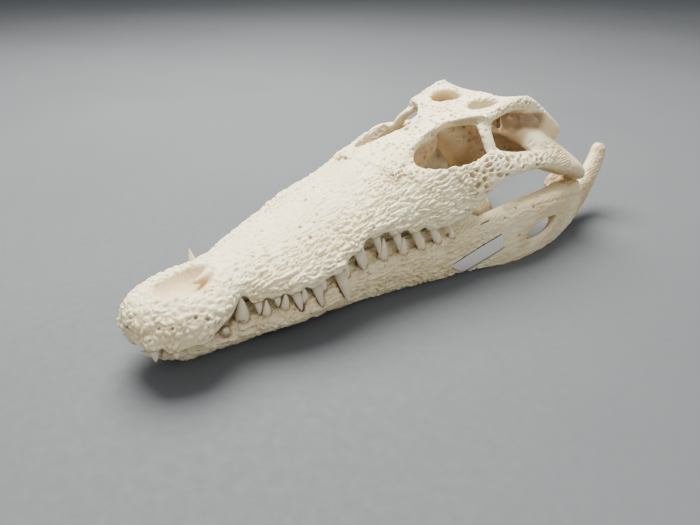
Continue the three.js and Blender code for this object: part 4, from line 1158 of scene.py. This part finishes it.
def sculpt_jaw(bone):
    _, y, z = bone.points.T
    top, bottom = jaw_top(y), jaw_bottom(y)
    level = (z - bottom) / (top - bottom)
    outer = bone.outside * smoothstep(-0.2, 0.2, bone.normals[:, 0])
    front = fade(70, 82, y)
    rear = smoothstep(86, 100, y) * fade(0.55, 0.9, level)
    lumps(bone, bone.outside, 3.0, 0.1, 21)
    ridges(bone, outer * front, 4.8, 0.75, 0.3, 22)
    ridges(bone, outer * front, 2.4, 0.4, 0.15, 23)
    scattered_pits(bone, outer * front, 1.5, 0.34, 0.25, 35, share=0.55, stain_and_shade=0.8, length=2.8)
    pores(bone, outer * front * smoothstep(0.5, 0.8, level), 1.25, 0.22, 24, share=0.5)
    pores(bone, outer * front, 1.6, 0.26, 25, share=0.5, stain_and_shade=0.85)
    ridges(bone, outer * rear, 2.6, 0.7, 0.13, 26)
    pores(bone, outer * rear, 1.5, 0.22, 27, share=0.45, stain_and_shade=0.4)
    ridges(bone, outer * (1 - front) * (1 - rear), 6, 1.0, 0.1, 28)
    pores(bone, 1 - outer, 2.4, 0.22, 29, share=0.3, stain_and_shade=0.5)
    inward = smoothstep(-0.3, 0.3, -bone.normals[:, 0])
    # painted shade on the jaw's inner faces in front, so the gaps between the teeth read dark
    inner = smoothstep(0.1, 0.5, -bone.normals[:, 0]) * fade(72, 80, y)
    bone.tint("hollow_shade_and_dirt", inner)
    bone.tint("warm_tone_and_shade", 0.5 * inner * smoothstep(0.3, 0.6, level))
    for place, radius, depth in JAW_FORAMINA:
        bone.pit(place, radius, depth)
    groove(bone, [(20, 73, 12.1), (20.5, 75, 12.4)], 0.3, 0.35, 0.85)
    groove(bone, [(18.2, 64.2, 4.4), (18.0, 64.9, 2.4), (17.4, 65.4, 0.9)], 0.16, 0.3, 1.0, 0.1)
    groove(bone, [(25.4, 93, 12.9), (25.2, 101, 11.6), (24.3, 110, 9.6), (22.6, 121, 8.2)],
           0.5, 0.25, 0.35, 0.5)
    bone.height *= 1 - 0.85 * label_mask(bone.points)
    bone.tint("warm_tone_and_shade", 0.22 + 0.4 * smoothstep(0.6, 1, level) * smoothstep(74, 90, y))
    bone.tint("warm_tone_and_shade", 0.8 * bone.near((25, 86, 6), 3.5, 0.5))
    # painted shade round the jaw joint, under the quadrate
    joint = bone.near((18.5, 109.5, 12.5), 4.5, 0.3)
    bone.tint("hollow_shade_and_dirt", 0.9 * joint)
    bone.tint("stain_and_shade", 0.45 * joint * inward)
    bone.tint("warm_tone_and_shade", 0.9 * smoothstep(104, 118, y))
    bone.tint("green", 0.35 * smoothstep(112, 124, y) * smoothstep(-0.2, 0.5, noise(bone.points / 3, 41)))


# ------------------------------------------------------------------ materials
class Paint:
    """Short-hand for building a material's nodes."""

    def __init__(self, name):
        self.material = bpy.data.materials.new(name)
        self.material.use_nodes = True
        self.tree = self.material.node_tree
        self.shader = self.tree.nodes["Principled BSDF"]

    def node(self, kind, inputs=(), **settings):
        made = self.tree.nodes.new(kind)
        for key, value in settings.items():
            setattr(made, key, value)
        for key, value in dict(inputs).items():
            if isinstance(value, bpy.types.NodeSocket):
                self.tree.links.new(value, made.inputs[key])
            else:
                made.inputs[key].default_value = value
        return made

    def noise(self, scale, detail=4.0, roughness=0.55):
        where = self.node("ShaderNodeTexCoord").outputs["Object"]
        return self.node("ShaderNodeTexNoise", {
            "Vector": where, "Scale": scale, "Detail": detail, "Roughness": roughness}).outputs["Fac"]

    def attribute(self, name):
        return self.node("ShaderNodeAttribute", attribute_name=name).outputs["Fac"]

    def range(self, value, low, high, to_low=0.0, to_high=1.0):
        return self.node("ShaderNodeMapRange", {
            "Value": value, "From Min": low, "From Max": high,
            "To Min": to_low, "To Max": to_high}).outputs[0]

    def times(self, a, b):
        return self.node("ShaderNodeMath", {0: a, 1: b}, operation="MULTIPLY").outputs[0]

    def mix(self, share, below, above):
        made = self.node("ShaderNodeMix", data_type="RGBA", clamp_factor=True)
        for socket, value in ((made.inputs[0], share), (made.inputs[6], below), (made.inputs[7], above)):
            if isinstance(value, bpy.types.NodeSocket):
                self.tree.links.new(value, socket)
            else:
                socket.default_value = value
        return made.outputs[2]

    def bump(self, height, distance, strength, below=None):
        inputs = {"Height": height, "Distance": distance, "Strength": strength}
        if below is not None:
            inputs["Normal"] = below
        return self.node("ShaderNodeBump", inputs).outputs["Normal"]

    def finish(self, color, roughness, normal=None):
        """The material, with these plugged into its shader."""
        self.tree.links.new(color, self.shader.inputs["Base Color"])
        self.tree.links.new(roughness, self.shader.inputs["Roughness"])
        if normal is not None:
            self.tree.links.new(normal, self.shader.inputs["Normal"])
        return self.material


IVORY = (0.89, 0.80, 0.52, 1)
CREAM = (0.84, 0.72, 0.42, 1)
CHALK = (0.91, 0.84, 0.61, 1)
# HONEY, TAN, OCHRE and UMBER also paint shade, through the tints that mix them in
HONEY = (0.62, 0.44, 0.23, 1)
TAN = (0.42, 0.29, 0.16, 1)
OCHRE = (0.36, 0.19, 0.08, 1)
UMBER = (0.17, 0.10, 0.05, 1)
OLIVE = (0.56, 0.53, 0.27, 1)


def bone_material():
    paint = Paint("dry_bone")
    clouds = paint.noise(38, 5)
    patches = paint.noise(110, 5, 0.6)
    grain = paint.noise(900, 4, 0.65)
    color = paint.mix(paint.range(clouds, 0.42, 0.62), IVORY, CREAM)
    color = paint.mix(paint.range(patches, 0.5, 0.66, 0, 0.5), color, CHALK)
    color = paint.mix(paint.range(grain, 0.5, 0.75, 0, 0.22), color, TAN)
    # painted shade in hollows, under the roof and inside the mouth, with some dirtier bone there, mixed in as
    # TAN
    hollow_shade_and_dirt = paint.times(paint.attribute("hollow_shade_and_dirt"), paint.range(patches, 0.25, 0.6, 0.7, 1.0))
    color = paint.mix(hollow_shade_and_dirt, color, TAN)
    # warmer bone at the rear and in the hollows, and painted shade inside the mouth, the nostril and the ear,
    # mixed in as HONEY
    warm_tone_and_shade = paint.times(paint.attribute("warm_tone_and_shade"), paint.range(clouds, 0.3, 0.6, 0.5, 0.9))
    color = paint.mix(warm_tone_and_shade, color, HONEY)
    color = paint.mix(paint.attribute("green"), color, OLIVE)
    # this tint holds real stains and painted shade in pits, creases and recesses, mixed in as OCHRE then
    # UMBER
    stain_and_shade = paint.attribute("stain_and_shade")
    color = paint.mix(paint.range(stain_and_shade, 0, 0.6, 0, 0.55), color, OCHRE)
    color = paint.mix(paint.range(stain_and_shade, 0.45, 1, 0, 1), color, UMBER)
    roughness = paint.range(patches, 0.3, 0.7, 0.5, 0.66)
    fine = paint.bump(grain, 0.00025, 0.5)
    normal = paint.bump(paint.noise(300, 5, 0.6), 0.0006, 0.45, fine)
    return paint.finish(color, roughness, normal)


def tooth_material():
    paint = Paint("dry_enamel")
    along = paint.attribute("along")
    streaks = paint.noise(420, 3, 0.5)
    clouds = paint.noise(160, 4)
    color = paint.mix(paint.range(clouds, 0.4, 0.65), (0.80, 0.72, 0.52, 1), (0.71, 0.60, 0.41, 1))
    color = paint.mix(paint.range(along, 0.35, 0.95, 0, 0.55), color, (0.85, 0.78, 0.60, 1))
    color = paint.mix(paint.range(along, 0.35, 0.05, 0, 0.6), color, (0.36, 0.24, 0.12, 1))
    color = paint.mix(paint.range(along, 0.1, 0.0, 0, 0.9), color, UMBER)
    color = paint.mix(paint.range(streaks, 0.55, 0.75, 0, 0.25), color, (0.45, 0.36, 0.24, 1))
    roughness = paint.range(clouds, 0.3, 0.7, 0.3, 0.46)
    return paint.finish(color, roughness, paint.bump(streaks, 0.0002, 0.3))


# ------------------------------------------------------------------ pieces
def bone_pieces(material):
    """The three bones, and the clay of the left jaw for the label to lie on."""
    upper = Bone("cranium", *cranium())
    sculpt_cranium(upper)
    # painted shade deep in the cranium's hollows, with some dirtier bone there
    upper.tint("hollow_shade_and_dirt", upper.enclosure() * (1 - 0.5 * upper.outside))
    left = Bone("mandible_left", *jaw(LOWER_LEFT))
    right = Bone("mandible_right", *jaw(LOWER_RIGHT))
    for bone, teeth in ((left, LOWER_LEFT), (right, LOWER_RIGHT)):
        sculpt_jaw(bone)
        socket_stain_and_shade(bone, teeth + UPPER)
        inward = smoothstep(-0.3, 0.3, -bone.normals[:, 0])
        # painted shade in the jaw's hollows, most on its inner side
        bone.tint("hollow_shade_and_dirt", bone.enclosure() * (0.3 + 0.7 * inward))
    made = [upper.build(material), left.build(material)]
    # the right side is shaped as a left one, then turned over
    right.points = right.points * [-1, 1, 1]
    right.normals = right.normals * [-1, 1, 1]
    right.quads = right.quads[:, ::-1]
    made.append(right.build(material))
    return made, left.clay


RIB_HEIGHT = 0.02


def tooth_piece(name, teeth, material):
    """All the crowns of one row, as one piece, ribbed finely along their length."""
    points, faces, along = [], [], []
    for number, tooth in enumerate(teeth):
        shape = crown(tooth, sides=28, rings=22)
        axis = tooth.tip - tooth.base
        length = np.linalg.norm(axis)
        t = (shape.points - tooth.base) @ axis / length**2
        start = sum(len(p) for p in points)
        centre = tooth.base + t[:, None] * axis
        out = shape.points - centre
        round_the_crown = np.arctan2(out[:, 0], out[:, 1]) * 3
        ribs = RIB_HEIGHT * noise(np.stack([round_the_crown, 0.4 * t, 0 * t + number], axis=1), 60)
        points.append(centre + out * (1 + ribs[:, None] / tooth.radius))
        faces += [*shape.triangles + start, *shape.quads + start]
        along.append(t)
    mesh = bpy.data.meshes.new(name)
    mesh.from_pydata(to_row(np.concatenate(points)).tolist(), [], [list(map(int, f)) for f in faces])
    mesh.validate()
    mesh.polygons.foreach_set("use_smooth", np.ones(len(mesh.polygons), bool))
    layer = mesh.attributes.new("along", "FLOAT", "POINT")
    layer.data.foreach_set("value", np.concatenate(along).astype(np.float32))
    mesh.materials.append(material)
    piece = bpy.data.objects.new(name, mesh)
    bpy.context.scene.collection.objects.link(piece)
    return piece


def flat_material(name, color, roughness):
    paint = Paint(name)
    mottle = paint.range(paint.noise(500, 4), 0.3, 0.7)
    darker = tuple(0.9 * c for c in color[:3]) + (1,)
    mottled = paint.mix(mottle, color, darker)
    return paint.finish(mottled, paint.range(mottle, 0, 1, roughness, roughness + 0.1))


def sheet(name, clay, low, high, lift, thickness, material):
    """A thin strip that lies on the jaw, between two fractions of the label's height."""
    rows = np.linspace(low, high, 9)
    columns = np.linspace(0, 1, 60)
    t, s = [grid.ravel() for grid in np.meshgrid(rows, columns, indexing="ij")]
    top = LABEL[0] + s[:, None] * (LABEL[1] - LABEL[0])
    bottom = LABEL[2] + s[:, None] * (LABEL[3] - LABEL[2])
    places = bottom + t[:, None] * (top - bottom)
    for _ in range(12):
        places[:, 0] -= 0.8 * (clay.sample(places) - lift)
    under = places - [thickness, 0, 0]
    count = len(places)
    grid = np.arange(count).reshape(len(rows), len(columns))
    front = np.stack([grid[:-1, :-1], grid[:-1, 1:], grid[1:, 1:], grid[1:, :-1]], axis=-1).reshape(-1, 4)
    edge = np.concatenate([grid[0, :-1], grid[:-1, -1], grid[-1, :0:-1], grid[:0:-1, 0]])
    after = np.roll(edge, -1)
    walls = np.stack([after, edge, edge + count, after + count], axis=1)
    faces = np.concatenate([front, front[:, ::-1] + count, walls])
    return mesh_piece(name, to_row(np.concatenate([places, under])), faces, material)


# ------------------------------------------------------------------ stage
CAMERA_STATION = (84.683, -31.476, 68.433)
CAMERA_AZIMUTH, CAMERA_ELEVATION, CAMERA_ROLL = np.radians([45.3825, 28.9257, -0.1053])
FOCAL_PIXELS = 600  # focal length in pixels of a picture 700 wide
PICTURE_WIDTH = 700


def set_camera():
    camera = bpy.data.cameras.new("camera")
    camera.lens = camera.sensor_width * FOCAL_PIXELS / PICTURE_WIDTH
    camera.clip_start = 0.01
    placed = bpy.data.objects.new("camera", camera)
    bpy.context.scene.collection.objects.link(placed)
    a, e = CAMERA_AZIMUTH, CAMERA_ELEVATION
    back = np.array([np.sin(a) * np.cos(e), -np.cos(a) * np.cos(e), np.sin(e)])
    right = np.array([np.cos(a), np.sin(a), 0])
    up = np.cross(back, right)
    turned_right = right * np.cos(CAMERA_ROLL) + up * np.sin(CAMERA_ROLL)
    turned_up = up * np.cos(CAMERA_ROLL) - right * np.sin(CAMERA_ROLL)
    matrix = np.eye(4)
    matrix[:3] = np.stack([turned_right, turned_up, back, to_row([CAMERA_STATION])[0]], axis=1)
    placed.matrix_world = Matrix(matrix.tolist())
    bpy.context.scene.camera = placed


LIT_PLACE = (0, 0, 0.03)  # what the lights point at


def add_light(name, place, size, power, color):
    light = bpy.data.lights.new(name, "AREA")
    light.shape = "DISK"
    light.size = size
    light.energy = power
    light.color = color
    placed = bpy.data.objects.new(name, light)
    placed.location = place
    direction = Vector([to - start for to, start in zip(LIT_PLACE, place)])
    placed.rotation_euler = direction.to_track_quat("-Z", "Y").to_euler()
    bpy.context.scene.collection.objects.link(placed)


def set_stage():
    paint = Paint("pale_floor")
    clouds = paint.range(paint.noise(3, 3), 0.4, 0.6)
    tone = paint.mix(clouds, (0.092, 0.098, 0.105, 1), (0.1, 0.106, 0.113, 1))
    material = paint.finish(tone, paint.range(paint.noise(200, 3), 0.3, 0.7, 0.75, 0.85))
    # metres: half the floor's depth and width, the radius of its bend and the wall above that
    half_depth, half_width, bend, wall = 2.5, 4, 0.8, 2.5
    angle = np.linspace(0, np.pi / 2, 14)
    run = np.concatenate([[-half_depth], half_depth + bend * np.sin(angle), [half_depth + bend]])
    rise = np.concatenate([[0], bend * (1 - np.cos(angle)), [bend + wall]])
    # the sweep rises behind the skull, away from the camera
    back = np.array([-np.sin(CAMERA_AZIMUTH), np.cos(CAMERA_AZIMUTH)])
    side = np.array([back[1], -back[0]])
    rows = []
    for offset in (-half_width, half_width):
        rows.append([[*(back * r + side * offset), h] for r, h in zip(run, rise)])
    points = np.array(rows).transpose(1, 0, 2).reshape(-1, 3)
    first = np.arange(0, len(points) - 2, 2)
    quads = np.stack([first, first + 1, first + 3, first + 2], axis=1)
    floor = mesh_piece("floor", points, quads, material)

    world = bpy.data.worlds.new("studio")
    world.use_nodes = True
    sky = world.node_tree.nodes["Background"].inputs
    sky["Color"].default_value = (0.95, 0.97, 1, 1)
    sky["Strength"].default_value = 0.62
    bpy.context.scene.world = world
    add_light("key", (-0.42, 0.16, 0.9), size=0.85, power=46, color=(1, 0.98, 0.93))
    add_light("fill", (0.8, -0.35, 0.75), size=0.6, power=3, color=(1, 0.99, 0.97))


bone = bone_material()
enamel = tooth_material()
bones, left_clay = bone_pieces(bone)
teeth_rows = [
    tooth_piece("teeth_upper_left", UPPER, enamel),
    tooth_piece("teeth_upper_right", mirrored(UPPER[1:]), enamel),
    tooth_piece("teeth_lower_left", LOWER_LEFT, enamel),
    tooth_piece("teeth_lower_right", mirrored(LOWER_RIGHT), enamel),
]
for piece in [*bones, *teeth_rows]:
    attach(piece, "root")
paper = flat_material("label_paper", (0.76, 0.73, 0.67, 1), 0.6)
ink = flat_material("ruled_line", (0.03, 0.03, 0.045, 1), 0.5)
for piece in (
    sheet("label", left_clay, 0, 1, 0.14, 0.5, paper),
    sheet("label_line_upper", left_clay, 0.96, 1, 0.18, 0.3, ink),
    sheet("label_line_lower", left_clay, 0, 0.04, 0.18, 0.3, ink),
):
    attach(piece, "root")
jaw_nodes = ("dentary", "jaw_rear")
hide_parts(*[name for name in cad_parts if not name.startswith(jaw_nodes)])
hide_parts("dentary_left", "jaw_rear_left")
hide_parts("dentary_right", "jaw_rear_right")
set_camera()
set_stage()
